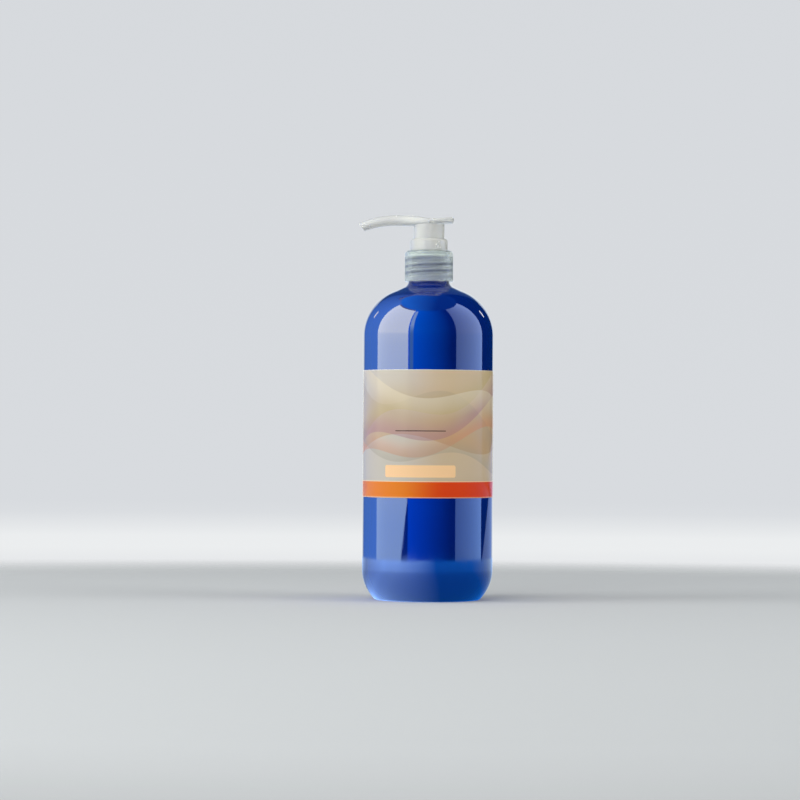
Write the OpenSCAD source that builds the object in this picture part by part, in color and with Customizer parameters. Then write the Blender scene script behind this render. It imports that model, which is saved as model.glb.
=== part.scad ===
// Pump oil bottle: a one litre blow-moulded bottle with a 28 mm screw finish, the
// lotion pump that is screwed on it, and the paper label round its body.
// Origin at the centre of the standing ring, +Z up, spout towards -X, middle of the
// label towards -Y. All sizes are in millimetres.

/* [Bottle] */
// Outside diameter of the straight wall
body_d = 85; // [72:0.5:102]
// Thickness of the body wall
wall = 1.0; // [0.8:0.1:1.6]
// Height at which the straight wall starts, above the heel
heel_h = 20; // [16:0.5:24]
// Radius of the big arc of the heel
heel_r = 28; // [26:0.5:34]
// Radius of the small edge between the heel and the standing ring
foot_r = 3; // [2:0.1:4]
// Width of the flat standing ring
ring_w = 1.8; // [1:0.1:4]
// Height of the push-up in the middle of the base
push_up = 5; // [3:0.5:8]
// Height at which the straight wall ends and the shoulder starts
shoulder_z = 172; // [140:1:210]
// Radius of the shoulder arc
shoulder_r = 31; // [24:0.5:33]
// Slope of the short cone between the shoulder and the neck, in degrees
shoulder_slope = 23; // [15:1:30]
// Outside diameter of the neck, at the root of its screw thread
neck_d = 25.5; // [24:0.1:27]
// Inside diameter of the neck
neck_bore = 22.1; // [21.5:0.05:23]
// Radius of the hollow between the shoulder and the neck
neck_fillet = 6; // [4:0.25:7]
// Length of the neck's straight part
neck_len = 14.9; // [12.5:0.1:18]

/* [Label] */
// Height of the label's lower edge
label_z = 66.9; // [40:0.1:80]
// Height of the label
label_h = 82.3; // [60:0.1:98]
// Thickness of the label
label_t = 0.15; // [0.1:0.05:0.3]
// Width of the open seam at the back, in degrees
label_seam = 6; // [2:1:40]

/* [Closure] */
// Outside diameter over the ribs
closure_d = 31.5; // [31.2:0.1:37.8]
// Height of the closure
closure_h = 20.3; // [18:0.1:21.5]
// Number of gripping ribs
rib_count = 76; // [40:2:90]
// Depth of the gripping ribs
rib_depth = 0.4; // [0.2:0.05:0.45]
// Step from the smooth band in to the crests of the ribs
rib_inset = 0.05; // [0.02:0.01:0.2]
// Height of the smooth band over the ribs
band_h = 3.9; // [2.5:0.1:6]
// Room on the radius between the neck and the skirt, which the screw thread fills
thread_room = 1.25; // [1.1:0.05:1.5]
// Thickness of the top plate
plate_t = 1.3; // [1:0.1:1.8]
// Radius of the top edge
closure_edge = 2.3; // [0.5:0.1:2.4]

/* [Locking collar] */
// Outside diameter of the collar
collar_d = 24.4; // [24:0.1:29]
// Height of the collar
collar_h = 7.7; // [6:0.1:9]
// Thickness of the collar's top lip
lip_t = 2; // [1:0.1:2.5]
// Radius of the collar's top edge
collar_edge = 1.9; // [0.5:0.1:1.9]

/* [Pump cylinder] */
// Bore of the cylinder in which the piston runs
cylinder_bore = 14; // [12:0.1:16.8]
// Wall of the cylinder
cylinder_wall = 1; // [0.8:0.1:1.5]
// Thickness of the flange that rests on the neck
flange_t = 1.2; // [0.8:0.1:1.8]
// Thickness of the gasket under the flange
gasket_t = 1; // [0.6:0.1:1.6]
// Depth of the cup below the neck's top
cup_depth = 8; // [7:0.1:10]
// Wall of the cup
cup_t = 1.05; // [0.8:0.05:1.2]
// Wall of the riser that holds the collar
riser_t = 0.85; // [0.7:0.05:0.95]
// Least width of the ledge between the riser's bore and the cup's
ledge_w = 0.35; // [0.3:0.05:0.6]
// Diameter of the vent hole
vent_d = 1.2; // [0.8:0.1:1.6]

/* [Head] */
// Diameter of the head's sleeve
sleeve_d = 20; // [17:0.1:20]
// Wall of the sleeve
sleeve_t = 1; // [0.8:0.1:1.4]
// Length of the sleeve inside the collar with the head up
sleeve_dip = 3; // [2.4:0.1:3.9]
// Height of the pad's lowest point above the collar
pad_rise = 13.3; // [12:0.1:16.6]
// Thickness of the pad over the sleeve
pad_t = 3.2; // [2.6:0.1:3.8]
// Height of the spout's crest above the pad's lowest point
crest_rise = 2; // [0.8:0.1:2.4]
// Radius of the bend along the top of the spout
bend_top = 54; // [50:1:80]
// Radius of the bend along the underside of the spout
bend_under = 56; // [52:1:90]
// Stroke of the pump
stroke = 8.2; // [6:0.1:8.3]
// Reach of the spout from the axis
spout_reach = 46.3; // [39:0.1:55.5]
// Diameter of the spout
spout_d = 6.8; // [6:0.1:8]
// Bore of the spout
spout_bore = 3.4; // [2.4:0.1:4]
// Width of the thumb pad
pad_w = 24; // [22:0.5:28]
// Overhang of the thumb pad behind the axis
pad_rear = 16.3; // [14:0.1:19]
// Angle of the cut at the spout's tip, from upright
tip_cut = 40; // [20:1:60]

/* [Stem, piston and valves] */
// Outside diameter of the stem
stem_d = 7.2; // [6.8:0.1:8]
// Bore of the stem
stem_bore = 3.6; // [3:0.1:3.6]
// Length of the stem in the head's socket
socket_len = 8; // [6:0.1:9.6]
// Length of the guide's tube below the cup
guide_drop = 2.8; // [2:0.1:3.4]
// Length of the piston
piston_h = 6.5; // [5:0.1:7.8]
// Thickness of the piston's retainer
retainer_t = 1.7; // [1.2:0.1:2.2]
// Diameter of the outlet ball
outlet_ball_d = 5.2; // [5.15:0.05:5.4]
// Travel of the outlet ball
outlet_travel = 1; // [0.6:0.1:1.4]
// Diameter of the inlet ball
inlet_ball_d = 5; // [4.8:0.1:6]
// Diameter of the inlet hole
inlet_hole = 3.2; // [2.6:0.1:3.3]
// Travel of the inlet ball
inlet_travel = 1.2; // [0.6:0.1:1.6]
// Diameter of the spring's wire
wire_d = 0.9; // [0.7:0.05:1]
// Number of coils of the spring
coils = 7; // [5:0.5:8]
// Length of the spring as fitted
spring_len = 20.6; // [19:0.1:25]
// Distance from the cylinder's bore to the middle of the spring's wire
spring_inset = 2.1; // [1.8:0.1:2.6]
// Length of the inlet hole under the ball
inlet_land = 5; // [3:0.5:6]

/* [Dip tube] */
// Outside diameter of the dip tube
tube_d = 6; // [5:0.1:7]
// Bore of the dip tube
tube_bore = 4.4; // [3.5:0.1:4.6]
// Depth to which the tube is pushed in the cylinder
tube_socket = 11; // [8:0.5:14]
// Wall of the sockets that hold the dip tube and the stem
socket_t = 1.2; // [0.8:0.1:1.6]
// Angle of the cut at the tube's tip, from level
tip_bevel = 45; // [20:1:60]
// Gap between the tube's tip and the bottle's floor
tube_floor_gap = 3; // [2:0.5:8]

/* [Clearances] */
// Gap on the radius between parts that slide in or turn on each other
run_gap = 0.1; // [0.05:0.01:0.12]
// Gap on the radius round the piston and in the piston's bore
piston_gap = 0.05; // [0.03:0.01:0.08]
// Gap along the axis between parts that turn face to face
face_gap = 0.1; // [0.05:0.01:0.2]
// Gap on the radius round the sleeve of the head
sleeve_gap = 0.25; // [0.15:0.05:0.3]
// Gap on the radius between the flange and the closure
flange_gap = 0.6; // [0.4:0.1:0.8]
// Room left under the sleeve at the end of the stroke
stroke_spare = 0.8; // [0.4:0.1:1.2]
// Gap between the piston and its retainer, which opens the piston's port
port_gap = 0.2; // [0.1:0.05:0.3]

/* [Hidden] */
$fn = 96;
// Overlap that joins or parts two shapes, and the reach of a cut past a face
eps = 0.01;
past = 1;

// --- bottle ---
body_rad = body_d / 2;
neck_rad = neck_d / 2;
// Middle of the heel's small edge, which touches the big arc and the ground
foot_x = body_rad - heel_r + sqrt(pow(heel_r - foot_r, 2) - pow(heel_h - foot_r, 2));
// Direction in which the two arcs of the heel meet
heel_turn = asin((heel_h - foot_r) / (heel_r - foot_r));
// Sphere of the push-up, through the inner edge of the standing ring
ring_in = foot_x - ring_w;
dome_r = (pow(ring_in, 2) + pow(push_up, 2)) / (2 * push_up);
floor_z = push_up + wall;
// Outward direction of the cone between the shoulder and the neck
cone_n = [sin(shoulder_slope), cos(shoulder_slope)];
cone_top = [body_rad - shoulder_r, shoulder_z] + shoulder_r * cone_n;

// Middle of the hollow of radius r between the cone, inset by t, and a neck of radius n
function hollow_c(t, n, r) =
    [n + r, cone_top[1] + (r - t - (n + r - cone_top[0]) * cone_n[0]) / cone_n[1]];

neck_base = hollow_c(0, neck_rad, neck_fillet)[1];
neck_top = neck_base + neck_len;

// --- stack on the neck, from the gasket up ---
flange_z = neck_top + gasket_t;
plate_z = flange_z + flange_t + face_gap;
closure_top = plate_z + plate_t;
closure_z = closure_top - closure_h;
collar_z = closure_top + face_gap;
collar_top = collar_z + collar_h;
lip_z = collar_top - lip_t;

// --- pump cylinder ---
sleeve_r = sleeve_d / 2;
riser_in = sleeve_r + sleeve_gap;
riser_out = riser_in + riser_t;
cup_out = neck_bore / 2 - run_gap;
closure_in = neck_rad + thread_room;
flange_r = closure_in - flange_gap;
cup_floor = neck_top - cup_depth;
cyl_r = cylinder_bore / 2;
cyl_out = cyl_r + cylinder_wall;

// --- moving group, drawn with the head up ---
sleeve_z = collar_top - sleeve_dip;
guide_top = sleeve_z - stroke - stroke_spare;
guide_in = min(cup_out - cup_t, riser_in - ledge_w);
stem_r = stem_d / 2;
guide_tube = stem_r + run_gap;
guide_z = cup_floor - guide_drop;
stem_flange_t = 1;
piston_top = guide_z - stem_flange_t - 2 * face_gap;
piston_z = piston_top - piston_h;
retainer_top = piston_z - port_gap;
retainer_z = retainer_top - retainer_t;
spring_z = retainer_z - face_gap - spring_len;
spring_r = cyl_r - spring_inset;
// Gap on the radius between the wire and the parts that keep the spring in line
wire_gap = 0.25;
seat_top = spring_z - eps;
seat_t = 1.2;
seat_z = seat_top - seat_t;

// --- inlet valve: a ball on a 45 degree cone, under the spring seat ---
inlet_r = inlet_ball_d / 2;
ball_gap = 0.05;
stop_lap = 0.5;
stop_r = inlet_r - stop_lap;
inlet_c = seat_z - ball_gap - inlet_travel - sqrt(pow(inlet_r, 2) - pow(stop_r, 2));
inlet_z = inlet_c - (inlet_r + ball_gap) * sqrt(2) + inlet_hole / 2;
inlet_room = 0.6;
chamber_r = inlet_r + inlet_room;
socket_top = inlet_z - inlet_land;
socket_z = socket_top - tube_socket;
socket_out = tube_d / 2 + socket_t;

// --- head ---
pad_z = collar_top + pad_rise;
crest_z = pad_z + crest_rise;
spout_low = crest_z - spout_d;
pad_under = pad_z - pad_t;
pad_mid = pad_rear - pad_w / 2;
duct_drop = 2.8;
duct_z = pad_z - duct_drop;
duct_wall = 1.2;
stem_drop = 2.4;
stem_top = duct_z - stem_drop;
socket_r = stem_r + socket_t;
// How far the sleeve's wall runs up into the pad
sleeve_bite = 0.8;
// Places along x, measured from the sleeve, where the head's outlines start and end a
// change: the spout's bend, the fall of its crest, the step of its underside, the pad's
// growth in width and its turn from round to square
bend_x = -(sleeve_r + 12);
crest_x = [-(sleeve_r + 3), 1.5];
step_x = [-(sleeve_r - 1), sleeve_r - 2];
spread_x = [-(sleeve_r + 12), pad_mid];
square_x = [-(sleeve_r + 14), 0];
duct_x = [-2, -(sleeve_r + 7)];
// Start and radius of the pad's slow rise to the rear, and rounding of its rear edge
rise_x = 3;
rise_r = 65;
rear_edge = 1.6;
// Exponents of the section: 2 is an ellipse, and more is squarer
round_power = 2;
square_power = 3.6;

// --- outlet valve: a ball on a 45 degree cone in the stem's top ---
outlet_r = outlet_ball_d / 2;
outlet_c = stem_top - ball_gap - outlet_travel - outlet_r;
outlet_z = outlet_c - (outlet_r + ball_gap) * sqrt(2) + stem_bore / 2;
outlet_room = 0.3;
outlet_chamber = outlet_r + outlet_room;

// Slice of a disc of radius r about c, between the directions a0 and a1
module slice(c, r, a0, a1) {
    am = (a0 + a1) / 2;
    far = 2 * r;
    intersection() {
        translate(c) circle(r);
        polygon([c, c + far * [cos(a0), sin(a0)], c + far * [cos(am), sin(am)],
                 c + far * [cos(a1), sin(a1)]]);
    }
}

// Half section of the solid bottle, inset by t, with a neck of radius n up to height top
module bottle_half(t, n, r, top) {
    heel_c = [body_rad - heel_r, heel_h];
    foot_c = [foot_x, foot_r];
    shoulder_c = [body_rad - shoulder_r, shoulder_z];
    hollow = hollow_c(t, n, r);
    foot_dir = [cos(heel_turn), -sin(heel_turn)];
    difference() {
        union() {
            polygon([[0, t], [foot_x, t], heel_c + (heel_r - t) * foot_dir,
                     [body_rad - t, heel_h], [body_rad - t, shoulder_z],
                     shoulder_c + (shoulder_r - t) * cone_n, hollow - r * cone_n,
                     [n, hollow[1]], [n, top], [0, top]]);
            slice(foot_c, foot_r - t, -90, -heel_turn);
            slice(heel_c, heel_r - t, -heel_turn, 0);
            slice(shoulder_c, shoulder_r - t, 0, 90 - shoulder_slope);
        }
        slice(hollow, r, 180, 270 - shoulder_slope);
    }
}

// Rectangle from (x0, z0) to (x1, z1) whose outer top corner has radius r
module rounded_half(x0, x1, z0, z1, r) {
    translate([x0, z0]) square([x1 - x0, z1 - z0 - r]);
    translate([x0, z0]) square([x1 - x0 - r, z1 - z0]);
    intersection() {
        translate([x1 - r, z1 - r]) circle(r);
        translate([x0, z0]) square([x1 - x0, z1 - z0]);
    }
}

// Upright tube about the axis
module tube(r_in, r_out, z0, z1) {
    translate([0, 0, z0]) difference() {
        cylinder(r = r_out, h = z1 - z0);
        translate([0, 0, -past]) cylinder(r = r_in, h = z1 - z0 + 2 * past);
    }
}

// Solid skin through rings of points, closed by a fan at each end
module skin(rings) {
    n = len(rings[0]);
    m = len(rings);
    points = [for (ring = rings) each ring];
    sides = [for (i = [0 : m - 2], j = [0 : n - 1])
             [i * n + j, i * n + (j + 1) % n, (i + 1) * n + (j + 1) % n, (i + 1) * n + j]];
    first = [for (j = [n - 1 : -1 : 0]) j];
    last = [for (j = [0 : n - 1]) (m - 1) * n + j];
    polyhedron(points, concat(sides, [first, last]), convexity = 6);
}

// Blend from 0 to 1 as x goes from a to b, level at both ends
function ease(x, a, b) = let (t = min(1, max(0, (x - a) / (b - a)))) t * t * (3 - 2 * t);

module bottle() {
    dome = [0, push_up - dome_r];
    color("#0a3fa8") rotate_extrude() difference() {
        bottle_half(0, neck_rad, neck_fillet, neck_top);
        difference() {
            bottle_half(wall, neck_bore / 2, neck_fillet + wall, neck_top + past);
            translate(dome) circle(dome_r + wall, $fn = 360);
        }
        translate(dome) circle(dome_r, $fn = 360);
    }
}

module label() {
    color("#d8d0c0") rotate([0, 0, 90 + label_seam / 2])
        rotate_extrude(angle = 360 - label_seam)
            translate([body_rad, label_z]) square([label_t, label_h]);
}

// Ribbed skirt: a toothed outline, drawn upwards
module ribbed_outline() {
    step = 360 / rib_count;
    crest = closure_d / 2 - rib_inset;
    root = crest - rib_depth;
    // Shares of the step at which a rib's foot and crest start and end
    corners = [[0.12, root], [0.36, crest], [0.64, crest], [0.88, root]];
    polygon([for (i = [0 : rib_count - 1], corner = corners)
             let (a = (i + corner[0]) * step) corner[1] * [cos(a), sin(a)]]);
}

module closure() {
    band_z = closure_top - band_h;
    color("#e4e8ea") difference() {
        union() {
            rotate_extrude()
                rounded_half(0, closure_d / 2, band_z, closure_top, closure_edge);
            translate([0, 0, closure_z])
                linear_extrude(height = band_z - closure_z + eps) ribbed_outline();
        }
        translate([0, 0, closure_z - past])
            cylinder(r = closure_in, h = plate_z - closure_z + past);
        translate([0, 0, plate_z - past])
            cylinder(r = riser_out + run_gap, h = plate_t + 2 * past);
    }
}

module locking_collar() {
    color("#eef1f3") difference() {
        rotate_extrude()
            rounded_half(riser_in, collar_d / 2, collar_z, collar_top, collar_edge);
        translate([0, 0, collar_z - past])
            cylinder(r = riser_out, h = lip_z - collar_z + past);
    }
}

module gasket() {
    color("#f4f4f0") tube(neck_bore / 2, flange_r, neck_top, flange_z);
}

module pump_cylinder() {
    waist_t = 1.9;
    waist = chamber_r + waist_t;
    // Heights of the outside tapers at the waist and between the cylinder and the cup
    step = 1;
    waist_taper = 1.5;
    cup_bottom = cup_floor - 0.5;
    cup_taper = 2.5;
    color("#e8ecee") difference() {
        rotate_extrude() polygon([
            [0, socket_z], [socket_out, socket_z], [socket_out, inlet_z - 2 * step],
            [waist, inlet_z - step], [waist, seat_z - waist_taper], [cyl_out, seat_z],
            [cyl_out, cup_bottom - cup_taper], [cup_out, cup_bottom], [cup_out, flange_z],
            [flange_r, flange_z], [flange_r, flange_z + flange_t],
            [riser_out, flange_z + flange_t], [riser_out, lip_z], [0, lip_z]]);
        rotate_extrude() polygon([
            [0, socket_z - past], [tube_d / 2, socket_z - past], [tube_d / 2, socket_top],
            [inlet_hole / 2, socket_top], [inlet_hole / 2, inlet_z],
            [chamber_r, inlet_z + chamber_r - inlet_hole / 2], [chamber_r, seat_z],
            [cyl_r, seat_z], [cyl_r, cup_floor], [guide_in, cup_floor],
            [guide_in, guide_top], [riser_in, guide_top], [riser_in, lip_z + past],
            [0, lip_z + past]]);
        translate([0, 0, piston_z + piston_h / 2]) rotate([-90, 0, 0])
            cylinder(d = vent_d, h = cyl_out + past, $fn = 24);
    }
}

module stem_guide() {
    foot_t = 1;
    plate = 1.2;
    tube_t = 1.3;
    tube_out = guide_tube + tube_t;
    color("#f0f2f4") rotate_extrude() polygon([
        [guide_tube, guide_z], [tube_out, guide_z], [tube_out, guide_top - plate],
        [guide_in - foot_t, guide_top - plate], [guide_in - foot_t, cup_floor],
        [guide_in, cup_floor], [guide_in, guide_top], [guide_tube, guide_top]]);
}

module spring_seat() {
    boss_r = spring_r - wire_d / 2 - wire_gap;
    boss_h = 3;
    lead = 0.5;
    slots = 3;
    slot_w = 1;
    color("#e6eaec") difference() {
        rotate_extrude() polygon([
            [stop_r, seat_z], [cyl_r - run_gap, seat_z], [cyl_r - run_gap, seat_top],
            [boss_r, seat_top], [boss_r - lead, seat_top + boss_h],
            [stop_r, seat_top + boss_h]]);
        // Slots that let oil past the ball when it is up against the seat
        for (i = [0 : slots - 1]) rotate([0, 0, i * 360 / slots])
            translate([stop_r - stop_lap, -slot_w / 2, seat_z - past])
                cube([stop_lap + inlet_room, slot_w, seat_t + 2 * past]);
    }
}

module inlet_ball() {
    color("#c9ccce") translate([0, 0, inlet_c]) sphere(r = inlet_r, $fn = 48);
}

// Height of the spring's wire after the given turns: dead coils lie close at both ends
function coil_z(turn) =
    let (dead = 1, rest = coils - 2 * dead, tight = 1.1 * wire_d,
         free = (spring_len - wire_d - 2 * dead * tight) / rest)
    turn < dead ? turn * tight
    : turn < dead + rest ? dead * tight + (turn - dead) * free
    : dead * tight + rest * free + (turn - dead - rest) * tight;

module spring() {
    per_turn = 20;
    sides = 8;
    steps = coils * per_turn;
    color("#b8bcc0") skin([for (i = [0 : steps])
        let (turn = i / per_turn, a = 360 * turn)
        [for (k = [0 : sides - 1])
            let (b = 360 * k / sides, r = spring_r + wire_d / 2 * cos(b))
            [r * cos(a), r * sin(a),
             spring_z + wire_d / 2 + coil_z(turn) + wire_d / 2 * sin(b)]]]);
}

module piston() {
    bore = stem_r + piston_gap;
    out = cyl_r - piston_gap;
    ring_t = 0.9;
    hub = bore + ring_t;
    rim = out - ring_t;
    lip = 1.2;
    groove = 0.3;
    waist = out - groove;
    pocket = 0.35 * piston_h;
    color("#f6f6f2") rotate_extrude() difference() {
        translate([bore, piston_z]) square([out - bore, piston_h]);
        polygon([[out + past, piston_z + lip - groove], [out, piston_z + lip - groove],
                 [waist, piston_z + lip], [waist, piston_top - lip],
                 [out, piston_top - lip + groove], [out + past, piston_top - lip + groove]]);
        translate([hub, piston_z - past]) square([rim - hub, pocket + past]);
        translate([hub, piston_top - pocket]) square([rim - hub, pocket + past]);
    }
}

module piston_retainer() {
    spigot = 4;
    spigot_t = 0.6;
    bore = stem_bore / 2 - spigot_t;
    rim = spring_r + wire_d / 2 + wire_gap;
    color("#eceff0") rotate_extrude() polygon([
        [bore, retainer_z], [rim, retainer_z],
        [rim, retainer_top], [stem_bore / 2, retainer_top],
        [stem_bore / 2, retainer_top + spigot], [bore, retainer_top + spigot]]);
}

module stem() {
    flange_w = 1.2;
    rim = stem_r + flange_w;
    low = piston_top + face_gap;
    color("#eef0f2") rotate_extrude() polygon([
        [stem_bore / 2, retainer_top], [stem_r, retainer_top], [stem_r, low], [rim, low],
        [rim, low + stem_flange_t], [stem_r, low + stem_flange_t], [stem_r, stem_top],
        [outlet_chamber, stem_top],
        [outlet_chamber, outlet_z + outlet_chamber - stem_bore / 2],
        [stem_bore / 2, outlet_z]]);
}

module outlet_ball() {
    color("#c9ccce") translate([0, 0, outlet_c]) sphere(r = outlet_r, $fn = 48);
}

// Outline of the head along the spout: top, underside and half width at each x
function head_top(x) =
    x < bend_x ? crest_z - pow(x - bend_x, 2) / (2 * bend_top)
    : x < rise_x ? crest_z - crest_rise * ease(x, crest_x[0], crest_x[1])
    : pad_z + pow(x - rise_x, 2) / (2 * rise_r);
function head_under(x) =
    x < bend_x ? spout_low - pow(x - bend_x, 2) / (2 * bend_under)
    : spout_low + (pad_under - spout_low) * ease(x, step_x[0], step_x[1]);
function head_half(x) =
    x > pad_mid ? sqrt(max(0, pow(pad_w / 2, 2) - pow(x - pad_mid, 2)))
    : spout_d / 2 + (pad_w - spout_d) / 2 * ease(x, spread_x[0], spread_x[1]);

// Ring of the head at x: an ellipse on the spout that grows squarer on the pad
function head_ring(x, sides) =
    let (over = max(0, x - (pad_rear - rear_edge)) / rear_edge,
         edge = sqrt(max(0.02, 1 - over * over)),
         square = ease(x, square_x[0], square_x[1]),
         power = 2 / (round_power + (square_power - round_power) * square),
         mid = (head_top(x) + head_under(x)) / 2,
         high = edge * (head_top(x) - head_under(x)) / 2,
         wide = max(0.4, head_half(x)))
    [for (k = [0 : sides - 1])
        let (a = 360 * (k + 0.5) / sides, c = cos(a), s = sin(a))
        [x, wide * sign(c) * pow(abs(c), power), mid + high * sign(s) * pow(abs(s), power)]];

// Middle of the duct at x: low over the stem, then in the middle of the spout
function duct_mid(x) =
    let (spout = (head_top(x) + head_under(x)) / 2)
    duct_z + (spout - duct_z) * ease(x, duct_x[0], duct_x[1]);

module head_body() {
    sides = 24;
    rear = [for (a = [6 : 12 : 78]) pad_mid + pad_w / 2 * cos(a)];
    front_steps = 22;
    spare = 3;
    run_out = spout_reach + spare + pad_mid;
    front = [for (i = [0 : front_steps]) pad_mid - run_out * i / front_steps];
    skin([for (x = concat(rear, front)) head_ring(x, sides)]);
}

module head_duct() {
    sides = 16;
    steps = 14;
    spare = 5;
    far = spout_reach + spare;
    skin([for (i = [0 : steps])
        let (x = -far * i / steps)
        [for (k = [0 : sides - 1])
            let (a = 360 * (k + 0.5) / sides)
            [x, spout_bore / 2 * cos(a), duct_mid(x) + spout_bore / 2 * sin(a)]]]);
}

module pump_head() {
    tip = [-spout_reach, 0, head_top(-spout_reach)];
    cut = 40;
    color("#eef1f4") difference() {
        union() {
            head_body();
            tube(sleeve_r - sleeve_t, sleeve_r, sleeve_z, pad_under + sleeve_bite);
            translate([0, 0, stem_top - socket_len])
                cylinder(r = socket_r, h = duct_z - stem_top + socket_len);
            translate([0, 0, duct_z]) rotate([0, -90, 0])
                cylinder(r = spout_bore / 2 + duct_wall, h = sleeve_r - sleeve_t / 2);
        }
        translate([0, 0, stem_top - socket_len - past])
            cylinder(r = stem_r, h = socket_len + past);
        translate([0, 0, stem_top - past])
            cylinder(r = spout_bore / 2, h = duct_z - stem_top + past);
        head_duct();
        translate(tip) rotate([0, -tip_cut, 0])
            translate([-cut / 2, -cut / 2, -cut]) cube([cut / 2, cut, 2 * cut]);
    }
}

module dip_tube() {
    tip_z = floor_z + tube_floor_gap;
    cut = 40;
    color("#e9edef") difference() {
        tube(tube_bore / 2, tube_d / 2, tip_z, socket_top);
        translate([tube_d / 2, 0, tip_z]) rotate([0, tip_bevel, 0])
            translate([-cut, -cut / 2, -cut]) cube([2 * cut, cut, cut]);
    }
}

bottle();
label();
closure();
locking_collar();
gasket();
pump_cylinder();
stem_guide();
spring_seat();
inlet_ball();
spring();
piston();
piston_retainer();
stem();
outlet_ball();
pump_head();
dip_tube();
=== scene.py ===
"""Pump oil bottle: the fine form and the finish of every piece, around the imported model.

The bottle with its screw thread, the label, the ribbed closure, the collar, the head and
the spring are drawn here as fine surfaces that stand for their plainer nodes. The other
pieces keep their nodes and get a finish. Sizes of pieces are in millimetres and become
metres in the meshes, while the studio is set out in metres. Angles are in degrees, and
azimuth 0 is the front, -Y, with positive azimuths to the right as seen from there.
"""

import logging
import math
from dataclasses import dataclass, field
from enum import Enum
from typing import Any

import bpy
import numpy as np
from mathutils import Matrix, Vector


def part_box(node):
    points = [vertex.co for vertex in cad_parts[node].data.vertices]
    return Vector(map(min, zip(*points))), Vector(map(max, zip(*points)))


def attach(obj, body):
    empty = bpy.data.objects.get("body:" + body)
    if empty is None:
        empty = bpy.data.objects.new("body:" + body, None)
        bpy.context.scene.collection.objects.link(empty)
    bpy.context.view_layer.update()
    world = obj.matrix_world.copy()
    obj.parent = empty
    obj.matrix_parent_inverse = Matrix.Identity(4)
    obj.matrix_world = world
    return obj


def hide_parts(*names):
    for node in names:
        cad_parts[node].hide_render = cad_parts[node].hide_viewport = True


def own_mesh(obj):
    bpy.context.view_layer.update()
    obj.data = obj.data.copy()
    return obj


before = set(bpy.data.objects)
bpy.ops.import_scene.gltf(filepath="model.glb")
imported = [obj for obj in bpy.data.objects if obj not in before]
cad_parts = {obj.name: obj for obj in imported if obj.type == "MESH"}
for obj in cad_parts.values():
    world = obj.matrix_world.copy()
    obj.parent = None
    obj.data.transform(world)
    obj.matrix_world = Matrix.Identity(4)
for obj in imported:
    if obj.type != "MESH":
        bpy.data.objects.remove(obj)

LOG = logging.getLogger("pump_bottle")
MM = 0.001
# Share of a turn from +X, anticlockwise from above, at which the front lies.
FRONT_TURN = 0.75
# Radius, in millimetres, of the small fan that closes a turned solid at its axis.
POLE = 0.3
# Span of a noise within which most of its values lie, and a narrower one.
NOISE_SPAN = (0.3, 0.7)
NOISE_MIDDLE = (0.35, 0.65)
Array = np.ndarray


class Body(Enum):
    """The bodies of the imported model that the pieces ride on."""

    BOTTLE = "bottle"
    PUMP = "pump"
    CLOSURE = "closure"
    HEAD = "head"


# ---------------------------------------------------------------- shapes as arrays


def ease(x: Array, start: float, stop: float) -> Array:
    """Blend from 0 to 1 as x goes from start to stop: 3t^2 - 2t^3, level at both ends.

    Args:
        x: Where the blend is wanted.
        start: Value of x at which the blend is 0.
        stop: Value of x at which the blend is 1.

    Returns:
        The blend at each x.
    """
    t = np.clip((np.asarray(x, float) - start) / (stop - start), 0, 1)
    return t * t * (3 - 2 * t)


def arc(centre: Array, radius: float, start: float, stop: float, steps: int) -> Array:
    """Points on a circle: centre + radius (cos a, sin a), with a from start to stop.

    Args:
        centre: Middle of the circle, across and up.
        radius: Radius of the circle.
        start: First angle, in degrees.
        stop: Last angle, in degrees.
        steps: Number of steps between them.

    Returns:
        Rows of points, across and up.
    """
    a = np.radians(np.linspace(start, stop, steps + 1))
    return np.asarray(centre) + radius * np.stack([np.cos(a), np.sin(a)], -1)


def line(start: Array, stop: Array, steps: int) -> Array:
    """Points on a straight line, start + t (stop - start), without its two ends.

    Args:
        start: First end.
        stop: Last end.
        steps: Number of steps the line is cut into.

    Returns:
        Rows of the points between the ends.
    """
    t = np.linspace(0, 1, steps + 1)[1:-1, None]
    return np.asarray(start) + t * (np.asarray(stop) - np.asarray(start))


def rounded_outline(corners: list[tuple[float, float, float]], steps: int = 6) -> Array:
    """Closed outline with round corners.

    Each corner is cut back by its radius over the tangent of its half angle, and the two
    cuts are joined by an arc, drawn by turning the first spoke of the corner's circle
    into the last: (sin((1 - t) w) s + sin(t w) e) / sin w.

    Args:
        corners: Across, up and radius of each corner, in order.
        steps: Number of steps in each corner's arc.

    Returns:
        Rows of points, across and up.
    """
    table = np.array(corners, float)
    points, radius = table[:, :2], table[:, 2:]
    back, ahead = np.roll(points, 1, 0) - points, np.roll(points, -1, 0) - points
    back /= np.linalg.norm(back, axis=1, keepdims=True)
    ahead /= np.linalg.norm(ahead, axis=1, keepdims=True)
    half = 0.5 * np.arccos(np.clip((back * ahead).sum(1, keepdims=True), -1, 1))
    middle = back + ahead
    middle /= np.linalg.norm(middle, axis=1, keepdims=True)
    centre = points + middle * radius / np.sin(half)
    first = points + back * radius / np.tan(half) - centre
    last = points + ahead * radius / np.tan(half) - centre
    w = (math.pi - 2 * half)[:, None]
    t = np.linspace(0, 1, steps + 1)[None, :, None]
    spoke = np.sin((1 - t) * w) * first[:, None] + np.sin(t * w) * last[:, None]
    return (centre[:, None] + spoke / np.sin(w)).reshape(-1, 2)


def turned(radius: Array, angle: Array, height: Array) -> Array:
    """Grid of points about the axis: (r cos a, r sin a, z)."""
    across, along = radius * np.cos(angle), radius * np.sin(angle)
    return np.stack([across, along, height + 0 * across], -1)


def rows_of(parts: list[Array], chosen: set[int]) -> Array:
    """For each row of an outline's joined parts, 1 in the chosen parts and 0 elsewhere."""
    return np.concatenate([np.full(len(part), float(i in chosen)) for i, part in enumerate(parts)])


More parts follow.
